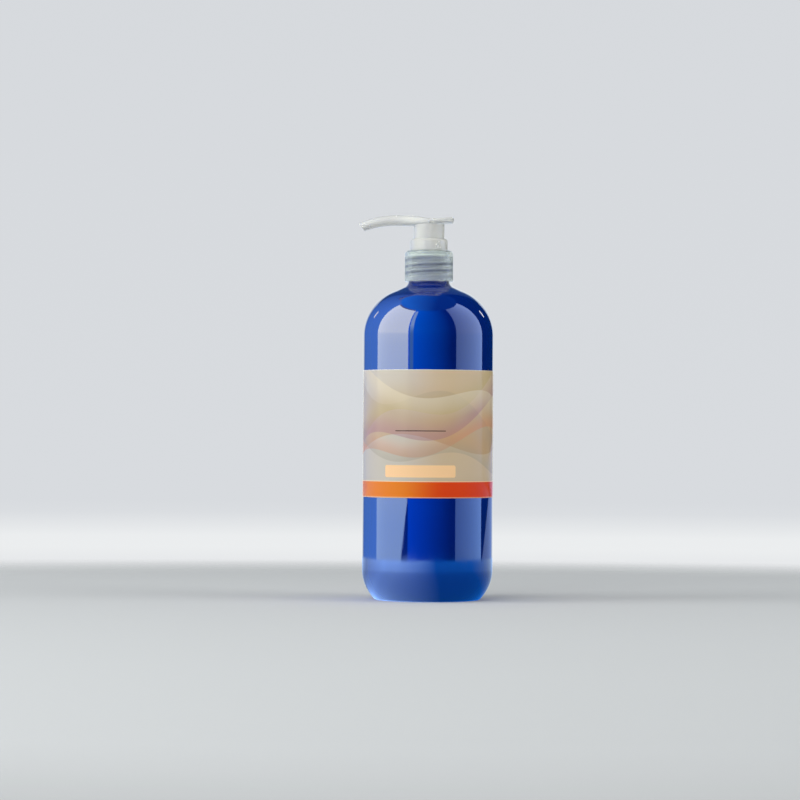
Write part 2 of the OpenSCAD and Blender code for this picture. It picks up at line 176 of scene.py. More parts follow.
def revolve(outline: Array, sides: int) -> Array:
    """Grid of an outline turned about the axis: (r cos a, r sin a, z).

    Args:
        outline: Rows of radius and height.
        sides: Number of steps round the axis.

    Returns:
        Points with one row for each point of the outline.
    """
    a = 2 * math.pi * np.arange(sides) / sides
    return turned(outline[:, 0, None], a, outline[:, 1, None])


def signed_volume(points: Array, quads: Array, triangles: Array) -> float:
    """Volume inside the faces: the sum of a . (b x c) / 6, negative if they face inwards.

    Args:
        points: Vertices.
        quads: Faces with four corners.
        triangles: Faces with three corners.

    Returns:
        The volume, with its sign.
    """
    faces = np.concatenate([quads[:, [0, 1, 2]], quads[:, [0, 2, 3]], triangles])
    a, b, c = (points[faces[:, k]] for k in range(3))
    return float((a * np.cross(b, c)).sum() / 6)


def mesh_of(
    name: str,
    points: Array,
    ring: bool = False,
    open_sheet: bool = False,
    uv: Array | None = None,
    crease: float = 32,
) -> bpy.types.Mesh:
    """Mesh of a grid of points, in millimetres, whose columns close on themselves.

    Each cell of the grid is one quad. If the rows don't close too, the first and the last
    are closed by a fan of triangles to their middle, so the mesh is always a closed skin.

    Args:
        name: Name of the mesh.
        points: Grid of rows, columns and coordinates.
        ring: Whether the last row joins the first.
        open_sheet: Leaves rows and columns open, for a backdrop.
        uv: Grid of rows, columns and two coordinates for a UV map.
        crease: Angle between faces, in degrees, past which an edge is sharp.

    Returns:
        The mesh, with its faces outwards.
    """
    rows, columns, _ = points.shape
    index = np.arange(rows * columns).reshape(rows, columns)
    if ring:
        index = np.concatenate([index, index[:1]])
    if not open_sheet:
        index = np.concatenate([index, index[:, :1]], 1)
    quads = np.stack(
        [index[:-1, :-1], index[:-1, 1:], index[1:, 1:], index[1:, :-1]], -1
    ).reshape(-1, 4)
    vertices = points.reshape(-1, 3)
    flat_uv = None if uv is None else uv.reshape(-1, 2)
    triangles = np.empty((0, 3), int)
    if not ring and not open_sheet:
        n = rows * columns
        vertices = np.concatenate([vertices, [points[0].mean(0), points[-1].mean(0)]])
        first, last = index[0], index[-1]
        low = np.stack([np.full(columns, n), first[1:], first[:-1]], -1)
        high = np.stack([np.full(columns, n + 1), last[:-1], last[1:]], -1)
        triangles = np.concatenate([low, high])
        if flat_uv is not None:
            flat_uv = np.concatenate([flat_uv, [uv[0].mean(0), uv[-1].mean(0)]])
    if not open_sheet and signed_volume(vertices, quads, triangles) < 0:
        quads, triangles = quads[:, ::-1], triangles[:, ::-1]
    corners = np.concatenate([quads.ravel(), triangles.ravel()])
    sizes = np.concatenate([np.full(len(quads), 4), np.full(len(triangles), 3)])
    mesh = bpy.data.meshes.new(name)
    mesh.vertices.add(len(vertices))
    mesh.vertices.foreach_set("co", (vertices * MM).astype(np.float32).ravel())
    mesh.loops.add(len(corners))
    mesh.loops.foreach_set("vertex_index", corners.astype(np.int32))
    mesh.polygons.add(len(sizes))
    starts = np.concatenate([[0], np.cumsum(sizes)[:-1]])
    mesh.polygons.foreach_set("loop_start", starts.astype(np.int32))
    mesh.update(calc_edges=True)
    mesh.validate()
    mesh.polygons.foreach_set("use_smooth", np.ones(len(mesh.polygons), bool))
    if flat_uv is not None:
        layer = mesh.uv_layers.new(name="wrap")
        layer.data.foreach_set("uv", flat_uv[corners].astype(np.float32).ravel())
    mesh.set_sharp_from_angle(angle=math.radians(crease))
    return mesh


def link_object(name: str, data: bpy.types.ID) -> bpy.types.Object:
    """Puts a new object in the scene.

    Args:
        name: Its name.
        data: Its mesh, lamp or camera.

    Returns:
        The new object.
    """
    item = bpy.data.objects.new(name, data)
    bpy.context.scene.collection.objects.link(item)
    return item


def only_reflected(item: bpy.types.Object) -> None:
    """Hides an object from every ray but the glossy ones."""
    for kind in ("camera", "diffuse", "transmission", "volume_scatter", "shadow"):
        setattr(item, f"visible_{kind}", False)


def combine(
    name: str, base: bpy.types.Mesh, steps: list[tuple[str, bpy.types.Mesh]]
) -> bpy.types.Mesh:
    """Mesh of a solid after others are joined to it or cut out of it, one by one.

    Args:
        name: Name of the result.
        base: The solid that is worked on.
        steps: For each step UNION or DIFFERENCE, and the other solid.

    Returns:
        The finished mesh.
    """
    work = link_object(name, base)
    tools = []
    for i, (operation, mesh) in enumerate(steps):
        tools.append(link_object(f"{name}_tool_{i}", mesh))
        step = work.modifiers.new(f"step_{i}", "BOOLEAN")
        step.operation, step.solver, step.object = operation, "EXACT", tools[i]
    graph = bpy.context.evaluated_depsgraph_get()
    done = bpy.data.meshes.new_from_object(work.evaluated_get(graph))
    done.name = name
    for extra in [work, *tools]:
        bpy.data.objects.remove(extra)
    return done


@dataclass(frozen=True)
class ScrewThread:
    """A helical bead on a wall, with flanks that run straight down to the root."""

    pitch: float
    height: float
    crest: float
    flank: float
    front_z: float
    low: float
    high: float

    def bead(self, turn: Array, z: Array) -> Array:
        """Height of the bead over the root of the thread.

        The helix climbs pitch for each turn. The distance from its nearest turn is folded
        to half a pitch either way, and the bead falls along its flanks from the crest. It
        fades out over a third of a pitch at its two ends.

        Args:
            turn: Share of a turn from +X, as seen from above, anticlockwise.
            z: Height above the table.

        Returns:
            The bead's height, 0 between the turns.
        """
        up = z - self.front_z - self.pitch * (turn - FRONT_TURN)
        off = (up + self.pitch / 2) % self.pitch - self.pitch / 2
        middle = z - off
        shape = np.clip((self.crest / 2 + self.flank - np.abs(off)) / self.flank, 0, 1)
        fade = self.pitch / 3
        ends = ease(middle, self.low, self.low + fade) * (
            1 - ease(middle, self.high - fade, self.high)
        )
        return self.height * shape * ends


# ---------------------------------------------------------------- finishes


def linear(colour: str) -> tuple[float, float, float, float]:
    """Linear colour of an sRGB hex value, with full alpha.

    Args:
        colour: Six hex digits after a hash sign.

    Returns:
        Red, green, blue and alpha.
    """
    share = np.array([int(colour[i : i + 2], 16) for i in (1, 3, 5)]) / 255
    low, high = share / 12.92, ((share + 0.055) / 1.055) ** 2.4
    return (*np.where(share <= 0.04045, low, high).tolist(), 1.0)


def add_node(
    tree: bpy.types.NodeTree,
    kind: str,
    inputs: dict[str | int, Any] | None = None,
    **settings: Any,
) -> bpy.types.Node:
    """Adds a node with its settings, and links or sets its inputs.

    Args:
        tree: Node tree of the material or the world.
        kind: Type of the node, without its leading ShaderNode.
        inputs: For each input, by name or place, a socket to link or a value.
        **settings: Attributes of the node itself.

    Returns:
        The new node.
    """
    node = tree.nodes.new(f"ShaderNode{kind}")
    for key, value in settings.items():
        setattr(node, key, value)
    for key, value in (inputs or {}).items():
        if isinstance(value, bpy.types.NodeSocket):
            tree.links.new(value, node.inputs[key])
        else:
            node.inputs[key].default_value = value
    return node


def fill_ramp(
    node: bpy.types.Node, stops: list[tuple[float, str]]
) -> bpy.types.NodeSocket:
    """Gives a colour ramp its stops.

    Args:
        node: The ramp's node.
        stops: Place from 0 to 1 and hex colour of each stop, in rising order.

    Returns:
        The socket of the ramp's colour.
    """
    elements = node.color_ramp.elements
    while len(elements) < len(stops):
        elements.new(1.0)
    for element, (place, colour) in zip(elements, stops):
        element.position, element.color = place, linear(colour)
    return node.outputs[0]


def per_mm(size: float) -> float:
    """Scale of a texture whose features are to be about that many millimetres across."""
    return 1 / (size * MM)


def new_tree(name: str) -> tuple[bpy.types.Material, bpy.types.NodeTree]:
    """A material with an empty node tree.

    Args:
        name: Name of the material.

    Returns:
        The material and its tree.
    """
    material = bpy.data.materials.new(name)
    material.use_nodes = True
    material.node_tree.nodes.clear()
    return material, material.node_tree


@dataclass(frozen=True)
class Moulded:
    """A moulded plastic, with the faint waves and dull patches that a mould leaves.

    The waves are a slow noise in the height of the surface, and the patches a second
    noise in its roughness.
    """

    name: str
    colour: str
    roughness: float
    ior: float
    clear: float = 0.0
    depth: float = 0.0
    depth_mm: float = 1.0
    wave_mm: float = 26.0
    wave_height_mm: float = 0.012
    patch_mm: float = 9.0
    patch: float = 0.03
    least_roughness: float = 0.01
    tint: str | None = None
    specular: float = 0.5
    # Colour of painted shade, where a thread lies behind a thin wall.
    painted_thread_shade: str | None = None

    def build(self) -> bpy.types.Material:
        """The material.

        Returns:
            A new material with its nodes.
        """
        material, tree = new_tree(self.name)
        place = add_node(tree, "TexCoord").outputs["Object"]
        patches = add_node(
            tree,
            "TexNoise",
            {"Vector": place, "Scale": per_mm(self.patch_mm), "Detail": 3.0},
        )
        gloss = add_node(
            tree,
            "MapRange",
            {
                "Value": patches.outputs[0],
                "From Min": NOISE_SPAN[0],
                "From Max": NOISE_SPAN[1],
                "To Min": max(self.least_roughness, self.roughness - self.patch),
                "To Max": self.roughness + self.patch,
            },
        )
        shader = add_node(
            tree,
            "BsdfPrincipled",
            {
                "Base Color": self.colour_socket(tree, place),
                "Roughness": gloss.outputs[0],
                "IOR": self.ior,
                "Specular IOR Level": self.specular,
                "Transmission Weight": self.clear,
                "Subsurface Weight": self.depth,
                "Subsurface Radius": (self.depth_mm * MM,) * 3,
                "Subsurface Scale": 1.0,
                "Normal": self.relief(tree, place),
            },
        )
        add_node(tree, "OutputMaterial", {"Surface": shader.outputs[0]})
        return material

    def colour_socket(self, tree: bpy.types.NodeTree, place: bpy.types.NodeSocket) -> Any:
        """The colour, which drifts a little towards the tint over a few centimetres, or nears a
        colour of painted shade as far as a UV map says that a thread lies behind: the shade of
        that thread, seen through the wall, is painted in.

        Args:
            tree: Node tree of the material.
            place: Object coordinates.

        Returns:
            A socket, or the plain colour if there is neither.
        """
        # Painted shade of a thread behind the wall, by the share in the UV map.
        if self.painted_thread_shade is not None:
            wrap = add_node(tree, "UVMap", uv_map="wrap").outputs[0]
            share = add_node(tree, "SeparateXYZ", {0: wrap}).outputs["X"]
            mix = add_node(
                tree,
                "Mix",
                {"Factor": share, 6: linear(self.colour), 7: linear(self.painted_thread_shade)},
                data_type="RGBA",
            )
            return mix.outputs[2]
        if self.tint is None:
            return linear(self.colour)
        drift = add_node(
            tree,
            "TexNoise",
            {"Vector": place, "Scale": per_mm(2 * self.wave_mm), "Detail": 1.0},
        )
        stops = list(zip(NOISE_MIDDLE, (self.colour, self.tint)))
        return fill_ramp(add_node(tree, "ValToRGB", {"Fac": drift.outputs[0]}), stops)

    def relief(
        self, tree: bpy.types.NodeTree, place: bpy.types.NodeSocket
    ) -> bpy.types.NodeSocket:
        """The waves of the surface, as a normal.

        Args:
            tree: Node tree of the material.
            place: Object coordinates.

        Returns:
            The socket of the normal.
        """
        waves = add_node(
            tree,
            "TexNoise",
            {"Vector": place, "Scale": per_mm(self.wave_mm), "Detail": 1.0},
        )
        bump = add_node(
            tree,
            "Bump",
            {"Height": waves.outputs[0], "Distance": self.wave_height_mm * MM},
        )
        return bump.outputs[0]


@dataclass(frozen=True)
class BlownBottle(Moulded):
    """Blow-moulded plastic with the fine parting line that the two mould halves leave."""

    seam_mm: float = 0.3
    seam_height_mm: float = 0.04

    def relief(
        self, tree: bpy.types.NodeTree, place: bpy.types.NodeSocket
    ) -> bpy.types.NodeSocket:
        """The waves, with the parting line in the plane of the spout laid over them.

        Args:
            tree: Node tree of the material.
            place: Object coordinates.

        Returns:
            The socket of the normal.
        """
        waves = super().relief(tree, place)
        parts = add_node(tree, "SeparateXYZ", {0: place})
        off = add_node(
            tree, "Math", {0: parts.outputs["Y"]}, operation="ABSOLUTE"
        )
        ridge = add_node(
            tree,
            "MapRange",
            {
                "Value": off.outputs[0],
                "From Min": 0.0,
                "From Max": self.seam_mm * MM,
                "To Min": 1.0,
                "To Max": 0.0,
            },
        )
        bump = add_node(
            tree,
            "Bump",
            {
                "Height": ridge.outputs[0],
                "Distance": self.seam_height_mm * MM,
                "Normal": waves,
            },
        )
        return bump.outputs[0]


@dataclass(frozen=True)
class DrawnSteel:
    """Stainless steel with fine scratches, from a drawing die or from tumbling."""

    name: str
    colour: str
    roughness: float
    scratch_mm: float = 0.5
    stretch: float = 6.0
    gloss_spread: tuple[float, float] = (-0.06, 0.1)

    def build(self) -> bpy.types.Material:
        """The material.

        Returns:
            A new material with its nodes.
        """
        material, tree = new_tree(self.name)
        place = add_node(tree, "TexCoord").outputs["Object"]
        along = add_node(
            tree, "Mapping", {"Vector": place, "Scale": (1, 1, self.stretch)}
        )
        scratches = add_node(
            tree,
            "TexNoise",
            {
                "Vector": along.outputs[0],
                "Scale": per_mm(self.scratch_mm),
                "Detail": 4.0,
            },
        )
        gloss = add_node(
            tree,
            "MapRange",
            {
                "Value": scratches.outputs[0],
                "To Min": self.roughness + self.gloss_spread[0],
                "To Max": self.roughness + self.gloss_spread[1],
            },
        )
        shader = add_node(
            tree,
            "BsdfPrincipled",
            {
                "Base Color": linear(self.colour),
                "Metallic": 1.0,
                "Roughness": gloss.outputs[0],
            },
        )
        add_node(tree, "OutputMaterial", {"Surface": shader.outputs[0]})
        return material


@dataclass(frozen=True)
class Patch:
    """A plain printed rectangle with round corners on the label."""

    across: float
    up: float
    width: float
    height: float
    corner: float
    colour: str


@dataclass(frozen=True)
class Veil:
    """A translucent layer of colour on the label, with one crisp wavy edge.

    The edge runs at base + slope x + swing sin(2 pi x / length + phase). The layer is
    strongest there and fades over its depth, upwards if the depth is positive.
    """

    colour: str
    strength: float
    base: float
    slope: float
    swing: float
    length: float
    phase: float
    depth: float


@dataclass(frozen=True)
class PrintedFilm:
    """Printed film with a gloss varnish, in plain bands, patches and wavy veils, with painted
    shade that makes the bands darker towards the right.

    The pattern is drawn in millimetres across and up from the label's lower edge at the
    middle of its front, from the piece's own UV map.
    """

    name: str
    width: float
    height: float
    # Each band's height, its colour on the left and its colour on the right, where the right one
    # holds painted shade.
    bands: tuple[tuple[float, str, str], ...]
    # Millimetres across over which the left colours turn into the shaded right ones.
    drift: tuple[float, float]
    patches: tuple[Patch, ...]
    veils: tuple[Veil, ...]
    veil_edge_mm: float
    roughness: float
    ior: float
    specular: float
    fibre_mm: float = 0.9
    fibre_height_mm: float = 0.004
    gloss_spread: float = 0.04

    def build(self) -> bpy.types.Material:
        """The material.

        Returns:
            A new material with its nodes.
        """
        material, tree = new_tree(self.name)
        wrap = add_node(tree, "UVMap", uv_map="wrap").outputs[0]
        place = add_node(
            tree,
            "Mapping",
            {
                "Vector": wrap,
                "Location": (-self.width / 2, 0, 0),
                "Scale": (self.width, self.height, 1),
            },
        ).outputs[0]
        print_and_shade = self.banded(tree, wrap, place)
        print_and_shade = self.veiled(tree, place, print_and_shade)
        print_and_shade = self.patched(tree, place, print_and_shade)
        fibre = add_node(
            tree,
            "TexNoise",
            {"Vector": place, "Scale": 1 / self.fibre_mm, "Detail": 2.0},
        )
        bump = add_node(
            tree,
            "Bump",
            {"Height": fibre.outputs[0], "Distance": self.fibre_height_mm * MM},
        )
        gloss = add_node(
            tree,
            "MapRange",
            {
                "Value": fibre.outputs[0],
                "To Min": self.roughness - self.gloss_spread,
                "To Max": self.roughness + self.gloss_spread,
            },
        )
        shader = add_node(
            tree,
            "BsdfPrincipled",
            {
                "Base Color": print_and_shade,
                "Roughness": gloss.outputs[0],
                "IOR": self.ior,
                "Specular IOR Level": self.specular,
                "Normal": bump.outputs[0],
            },
        )
        add_node(tree, "OutputMaterial", {"Surface": shader.outputs[0]})
        return material

    def banded(
        self,
        tree: bpy.types.NodeTree,
        wrap: bpy.types.NodeSocket,
        place: bpy.types.NodeSocket,
    ) -> bpy.types.NodeSocket:
        """The level bands, each from its own height up to the next one's, and each with a left and
        a right colour that run into each other over the drift. The right colours, mostly darker
        and warmer, are painted shade of the side that the key light reaches less.

        Args:
            tree: Node tree of the material.
            wrap: The UV map, from 0 to 1 both ways.
            place: Millimetres across and up.

        Returns:
            The socket of the colour.
        """
        up = add_node(tree, "SeparateXYZ", {0: wrap}).outputs["Y"]
        ramps = []
        for side in (1, 2):
            ramp = add_node(tree, "ValToRGB", {"Fac": up})
            ramp.color_ramp.interpolation = "CONSTANT"
            stops = [(band[0] / self.height, band[side]) for band in self.bands]
            ramps.append(fill_ramp(ramp, stops))
        # Painted shade: the bands turn to their darker right colours across the front.
        across = add_node(tree, "SeparateXYZ", {0: place}).outputs["X"]
        share = add_node(
            tree,
            "MapRange",
            {"Value": across, "From Min": self.drift[0], "From Max": self.drift[1]},
            interpolation_type="SMOOTHSTEP",
        )
        return add_node(
            tree,
            "Mix",
            {"Factor": share.outputs[0], 6: ramps[0], 7: ramps[1]},
            data_type="RGBA",
        ).outputs[2]

    def veiled(
        self,
        tree: bpy.types.NodeTree,
        place: bpy.types.NodeSocket,
        print_and_shade: bpy.types.NodeSocket,
    ) -> bpy.types.NodeSocket:
        """The veils over the ground, each drawn by its height over its own wavy edge.

        Args:
            tree: Node tree of the material.
            place: Millimetres across and up.
            print_and_shade: The colour so far.

        Returns:
            The socket of the colour.
        """
        parts = add_node(tree, "SeparateXYZ", {0: place})
        across, up = parts.outputs["X"], parts.outputs["Y"]
        for veil in self.veils:
            edge = across
            for operation, factor, extra in (
                ("MULTIPLY_ADD", 2 * math.pi / veil.length, math.radians(veil.phase)),
                ("SINE", 0.0, 0.0),
                ("MULTIPLY_ADD", veil.swing, veil.base),
            ):
                inputs = {0: edge, 1: factor, 2: extra}
                edge = add_node(tree, "Math", inputs, operation=operation).outputs[0]
            inputs = {0: across, 1: veil.slope, 2: edge}
            edge = add_node(tree, "Math", inputs, operation="MULTIPLY_ADD").outputs[0]
            inputs = {0: up, 1: edge} if veil.depth > 0 else {0: edge, 1: up}
            off = add_node(tree, "Math", inputs, operation="SUBTRACT").outputs[0]
            inside = add_node(
                tree,
                "MapRange",
                {
                    "Value": off,
                    "From Min": -self.veil_edge_mm,
                    "From Max": self.veil_edge_mm,
                },
                interpolation_type="SMOOTHSTEP",
            )
            layer = add_node(
                tree,
                "MapRange",
                {
                    "Value": off,
                    "From Min": 0.0,
                    "From Max": abs(veil.depth),
                    "To Min": veil.strength,
                    "To Max": 0.0,
                },
                interpolation_type="SMOOTHSTEP",
            )
            share = add_node(
                tree,
                "Math",
                {0: inside.outputs[0], 1: layer.outputs[0]},
                operation="MULTIPLY",
            )
            print_and_shade = add_node(
                tree,
                "Mix",
                {"Factor": share.outputs[0], 6: print_and_shade, 7: linear(veil.colour)},
                data_type="RGBA",
            ).outputs[2]
        return print_and_shade

    def patched(
        self,
        tree: bpy.types.NodeTree,
        place: bpy.types.NodeSocket,
        print_and_shade: bpy.types.NodeSocket,
    ) -> bpy.types.NodeSocket:
        """The printed rectangles: inside where |max(|p - c| - s, 0)| is under the corner.

        Args:
            tree: Node tree of the material.
            place: Millimetres across and up.
            print_and_shade: The colour so far.

        Returns:
            The socket of the colour.
        """
        for patch in self.patches:
            size = (
                patch.width / 2 - patch.corner,
                patch.height / 2 - patch.corner,
                1,
            )
            vector = place
            for operation, other in (
                ("SUBTRACT", (patch.across, patch.up, 0)),
                ("ABSOLUTE", (0, 0, 0)),
                ("SUBTRACT", size),
                ("MAXIMUM", (0, 0, 0)),
            ):
                vector = add_node(
                    tree,
                    "VectorMath",
                    {0: vector, 1: other},
                    operation=operation,
                ).outputs[0]
            away = add_node(
                tree, "VectorMath", {0: vector}, operation="LENGTH"
            )
            inside = add_node(
                tree,
                "Math",
                {0: away.outputs["Value"], 1: patch.corner},
                operation="LESS_THAN",
            )
            print_and_shade = add_node(
                tree,
                "Mix",
                {"Factor": inside.outputs[0], 6: print_and_shade, 7: linear(patch.colour)},
                data_type="RGBA",
            ).outputs[2]
        return print_and_shade


# PET, stretch-blown and pigmented right through: a glassy skin with faint waves.
COBALT_PET = BlownBottle(
    "cobalt_pet_blown",
    "#022078",
    0.04,
    1.575,
    wave_mm=24,
    wave_height_mm=0.010,
    patch=0.015,
    tint="#021C6A",
    specular=0.8,
)
# Polypropylene without pigment, moulded thin: milky and mostly clear. Its IOR is under the
# plastic's own 1.49, which would make the ribbed wall look like glass at its sides.
NATURAL_PP = Moulded(
    "natural_polypropylene_moulded",
    "#EEF5F0",
    0.05,
    1.2,
    clear=0.76,
    patch=0.02,
    specular=0.5,
    # Painted shade: the cap's wall darkens to this colour where the neck's thread lies behind it.
    painted_thread_shade="#5D6C8C",
)
# The same plastic in thicker walls, from a polished mould: whiter, with a soft sheen. Its
# IOR is under 1.49 too, so that the walls keep their pale edges.
POLISHED_PP = Moulded(
    "natural_polypropylene_polished",
    "#F4F3EA",
    0.25,
    1.33,
    clear=0.45,
    patch=0.03,
    specular=0.2,
)
# Low-density polyethylene of the piston: waxy and soft.
WAXY_LDPE = Moulded("waxy_polyethylene_moulded", "#F4F3EC", 0.42, 1.51, depth=0.5)
# Extruded tube: the same plastic, clearer, with a drawn surface.
EXTRUDED_PE = Moulded("polyethylene_extruded", "#EEF1F0", 0.34, 1.51, clear=0.6)
# Closed-cell foam of the gasket: matt and fine-grained.
EVA_FOAM = Moulded(
    "eva_foam_punched",
    "#EFEFE8",
    0.8,
    1.45,
    wave_mm=0.6,
    wave_height_mm=0.05,
    patch=0.08,
)
SPRING_STEEL = DrawnSteel("stainless_wire_drawn", "#C3C6C9", 0.28)
BALL_STEEL = DrawnSteel(
    "stainless_ball_tumbled", "#CDD0D2", 0.12, scratch_mm=1.2, stretch=1
)


# ---------------------------------------------------------------- placing pieces


def box_mm(node: str) -> tuple[Array, Array]:
    """Lowest and highest corner of a node at rest, in millimetres.

    Args:
        node: Name of the node.

    Returns:
        The two corners.
    """
    low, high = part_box(node)
    return np.array(low) / MM, np.array(high) / MM


def place_piece(
    name: str,
    mesh: bpy.types.Mesh,
    material: bpy.types.Material,
    body: Body,
    node: str,
) -> bpy.types.Object:
    """Puts a new piece in the scene in place of a node, on its body.

    Args:
        name: Name of the piece.
        mesh: Its mesh, in place.
        material: Its finish.
        body: The body it rides on.
        node: The node it stands for, which it hides.

    Returns:
        The new object.
    """
    piece = link_object(name, mesh)
    mesh.materials.clear()
    mesh.materials.append(material)
    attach(piece, body.value)
    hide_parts(node)
    LOG.info("%s: %d faces on %s", name, len(mesh.polygons), body.value)
    return piece


def dress_node(node: str, material: bpy.types.Material) -> None:
    """Gives a node its finish.

    Args:
        node: Name of the node.
        material: Its finish.
    """
    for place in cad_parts[node].material_slots:
        place.material = material
    LOG.info("%s: node with %s", node, material.name)


# ---------------------------------------------------------------- sub-assemblies


@dataclass
class Bottle:
    """The blown bottle with its screw neck, and the label round its straight wall."""

    body_radius: float = 42.5
    wall: float = 1.0
    heel_height: float = 20.0
    heel_radius: float = 28.0
    foot_radius: float = 3.0
    ring_width: float = 1.8
    push_up: float = 5.0
    floor_stop: float = 89.5
    gate_radius: float = 2.2
    gate_height: float = 0.5
    gate_flat: float = 0.7
    gate_rim: float = 0.1
    gate_reach: float = 1.5
    shoulder_height: float = 172.0
    shoulder_radius: float = 31.0
    slope: float = 23.0
    neck_radius: float = 12.75
    bore_radius: float = 11.05
    hollow_radius: float = 6.0
    neck_length: float = 14.9
    rim_radius: float = 0.35
    thread_pitch: float = 25.4 / 6
    thread_height: float = 1.0
    thread_crest: float = 0.7
    thread_flank: float = 0.75
    thread_front_drop: float = 1.75
    thread_foot_gap: float = 0.6
    thread_rim_gap: float = 1.2
    thread_row: float = 0.14
    sides: int = 256
    label_thickness: float = 0.15
    label_sink: float = 0.05
    label_edge: float = 0.05
    label_seam: float = 6.0
    label_steps: int = 240
    margin: float = 0.35
    band_height: float = 10.1
    line_height: float = 0.7

    @property
    def slope_direction(self) -> Array:
        """Outward direction of the cone between shoulder and neck."""
        a = math.radians(self.slope)
        return np.array([math.sin(a), math.cos(a)])

    def hollow_centre(self, inset: float, neck: float, radius: float) -> Array:
        """Middle of the arc that leads from the cone, inset by a wall, to the neck.

        Args:
            inset: Thickness by which the cone is inset.
            neck: Radius of the neck.
            radius: Radius of the arc.

        Returns:
            Across and up.
        """
        n = self.slope_direction
        top = self.shoulder_centre + self.shoulder_radius * n
        across = neck + radius
        return np.array([across, top[1] + (radius - inset - (across - top[0]) * n[0]) / n[1]])

    @property
    def shoulder_centre(self) -> Array:
        """Middle of the shoulder's arc."""
        return np.array([self.body_radius - self.shoulder_radius, self.shoulder_height])

    @property
    def neck_base(self) -> float:
        """Height at which the neck's straight part starts."""
        return float(self.hollow_centre(0, self.neck_radius, self.hollow_radius)[1])

    @property
    def neck_top(self) -> float:
        """Height of the neck's rim."""
        return self.neck_base + self.neck_length

    @property
    def thread(self) -> ScrewThread:
        """The bead on the neck."""
        return ScrewThread(
            pitch=self.thread_pitch,
            height=self.thread_height,
            crest=self.thread_crest,
            flank=self.thread_flank,
            front_z=self.neck_top - self.thread_front_drop,
            low=self.neck_base + self.thread_foot_gap,
            high=self.neck_top - self.thread_rim_gap,
        )

    def half_outline(self, inset: float, neck: float, hollow: float, steps: int) -> Array:
        """Outline of the body from the heel's foot to the foot of the neck.

        It runs up the small arc of the foot, the big arc of the heel, the straight wall,
        the arc of the shoulder, the cone and the hollow arc under the neck. A wall inside
        it is the same outline with its arcs inset.

        Args:
            inset: Thickness by which it is inset.
            neck: Radius of the neck that it leads to.
            hollow: Radius of the arc under the neck.
            steps: Number of steps in each big arc.

        Returns:
            Rows of radius and height.
        """
        rise = self.heel_height - self.foot_radius
        span = self.heel_radius - self.foot_radius
        turn = math.degrees(math.asin(rise / span))
        foot_x = self.body_radius - self.heel_radius + math.sqrt(span**2 - rise**2)
        heel = [self.body_radius - self.heel_radius, self.heel_height]
        wall = self.body_radius - inset
        shoulder = self.shoulder_radius - inset
        centre = self.hollow_centre(inset, neck, hollow)
        return np.concatenate(
            [
                arc([foot_x, self.foot_radius], self.foot_radius - inset, -90, -turn, 8),
                arc(heel, self.heel_radius - inset, -turn, 0, steps)[1:],
                line([wall, self.heel_height], [wall, self.shoulder_height], 24),
                arc(self.shoulder_centre, shoulder, 0, 90 - self.slope, steps),
                arc(centre, hollow, 270 - self.slope, 180, 10),
            ]
        )

    def outline(self) -> tuple[Array, Array]:
        """The whole outline, from the middle of the base outside to its middle inside.

        Returns:
            Rows of radius and height, and for each row how much of the thread it has.
        """
        outer = self.half_outline(0, self.neck_radius, self.hollow_radius, 26)
        inner = self.half_outline(
            self.wall, self.bore_radius, self.hollow_radius + self.wall, 12
        )
        ring_in = outer[0, 0] - self.ring_width
        dome = (ring_in**2 + self.push_up**2) / (2 * self.push_up)
        centre = np.array([0, self.push_up - dome])
        edge = math.degrees(math.atan2(-centre[1], ring_in))
        inside = dome + self.wall
        floor_edge = math.degrees(math.acos(inner[0, 0] / inside))
        gate = self.gate_radius
        gate_z = self.push_up - self.gate_height
        gate_rim = [gate, self.push_up - self.gate_rim]
        base = np.array([[POLE, gate_z], [self.gate_flat * gate, gate_z], gate_rim])
        start = math.degrees(math.acos(self.gate_reach * gate / dome))
        rows = round(self.neck_length / self.thread_row)
        rim = self.rim_radius
        top = self.neck_top
        out_rim = [self.neck_radius - rim, top - rim]
        in_rim = [self.bore_radius + rim, top - rim]
        parts = [
            base,
            arc(centre, dome, start, edge, 26),
            outer,
            line(outer[-1], [self.neck_radius, top - rim], rows),
            arc(out_rim, rim, 0, 90, 5),
            arc(in_rim, rim, 90, 180, 5),
            line([self.bore_radius, top - rim], inner[-1], 3),
            inner[::-1],
            arc(centre, inside, floor_edge, self.floor_stop, 16)[1:],
        ]
        neck_wall = {3}
        return np.concatenate(parts), rows_of(parts, neck_wall)

    def shell_mesh(self) -> bpy.types.Mesh:
        """Mesh of the bottle: the outline turned about the axis, with the thread's bead
        added to the radius of the rows on the neck.

        Returns:
            The mesh.
        """
        outline, share = self.outline()
        points = revolve(outline, self.sides)
        turn = np.arange(self.sides)[None] / self.sides
        bead = self.thread.bead(turn, points[..., 2]) * share[:, None]
        radius = outline[:, :1]
        points[..., :2] *= ((radius + bead) / radius)[..., None]
        return mesh_of("bottle_shell", points)

    def label_mesh(self) -> bpy.types.Mesh:
        """Mesh of the label: a thin upright section carried round the wall, from one side
        of the seam at the back to the other, with a UV map from 0 to 1 both ways.

        Returns:
            The mesh.
        """
        low, high = box_mm("label")
        r0 = self.body_radius - self.label_sink
        r1 = self.body_radius + self.label_thickness
        corners = ((r0, low[2]), (r1, low[2]), (r1, high[2]), (r0, high[2]))
        section = rounded_outline([(*corner, self.label_edge) for corner in corners], 3)
        half = 180 - self.label_seam / 2
        share = np.linspace(0, 1, self.label_steps + 1)[:, None]
        a = np.radians(-90 - half + 2 * half * share)
        r, z = section[None, :, 0], section[None, :, 1]
        up = (z - low[2]) / (high[2] - low[2])
        uv = np.stack([share + 0 * z, up + 0 * share], -1)
        return mesh_of("label_film", turned(r, a, z), uv=uv, crease=50)

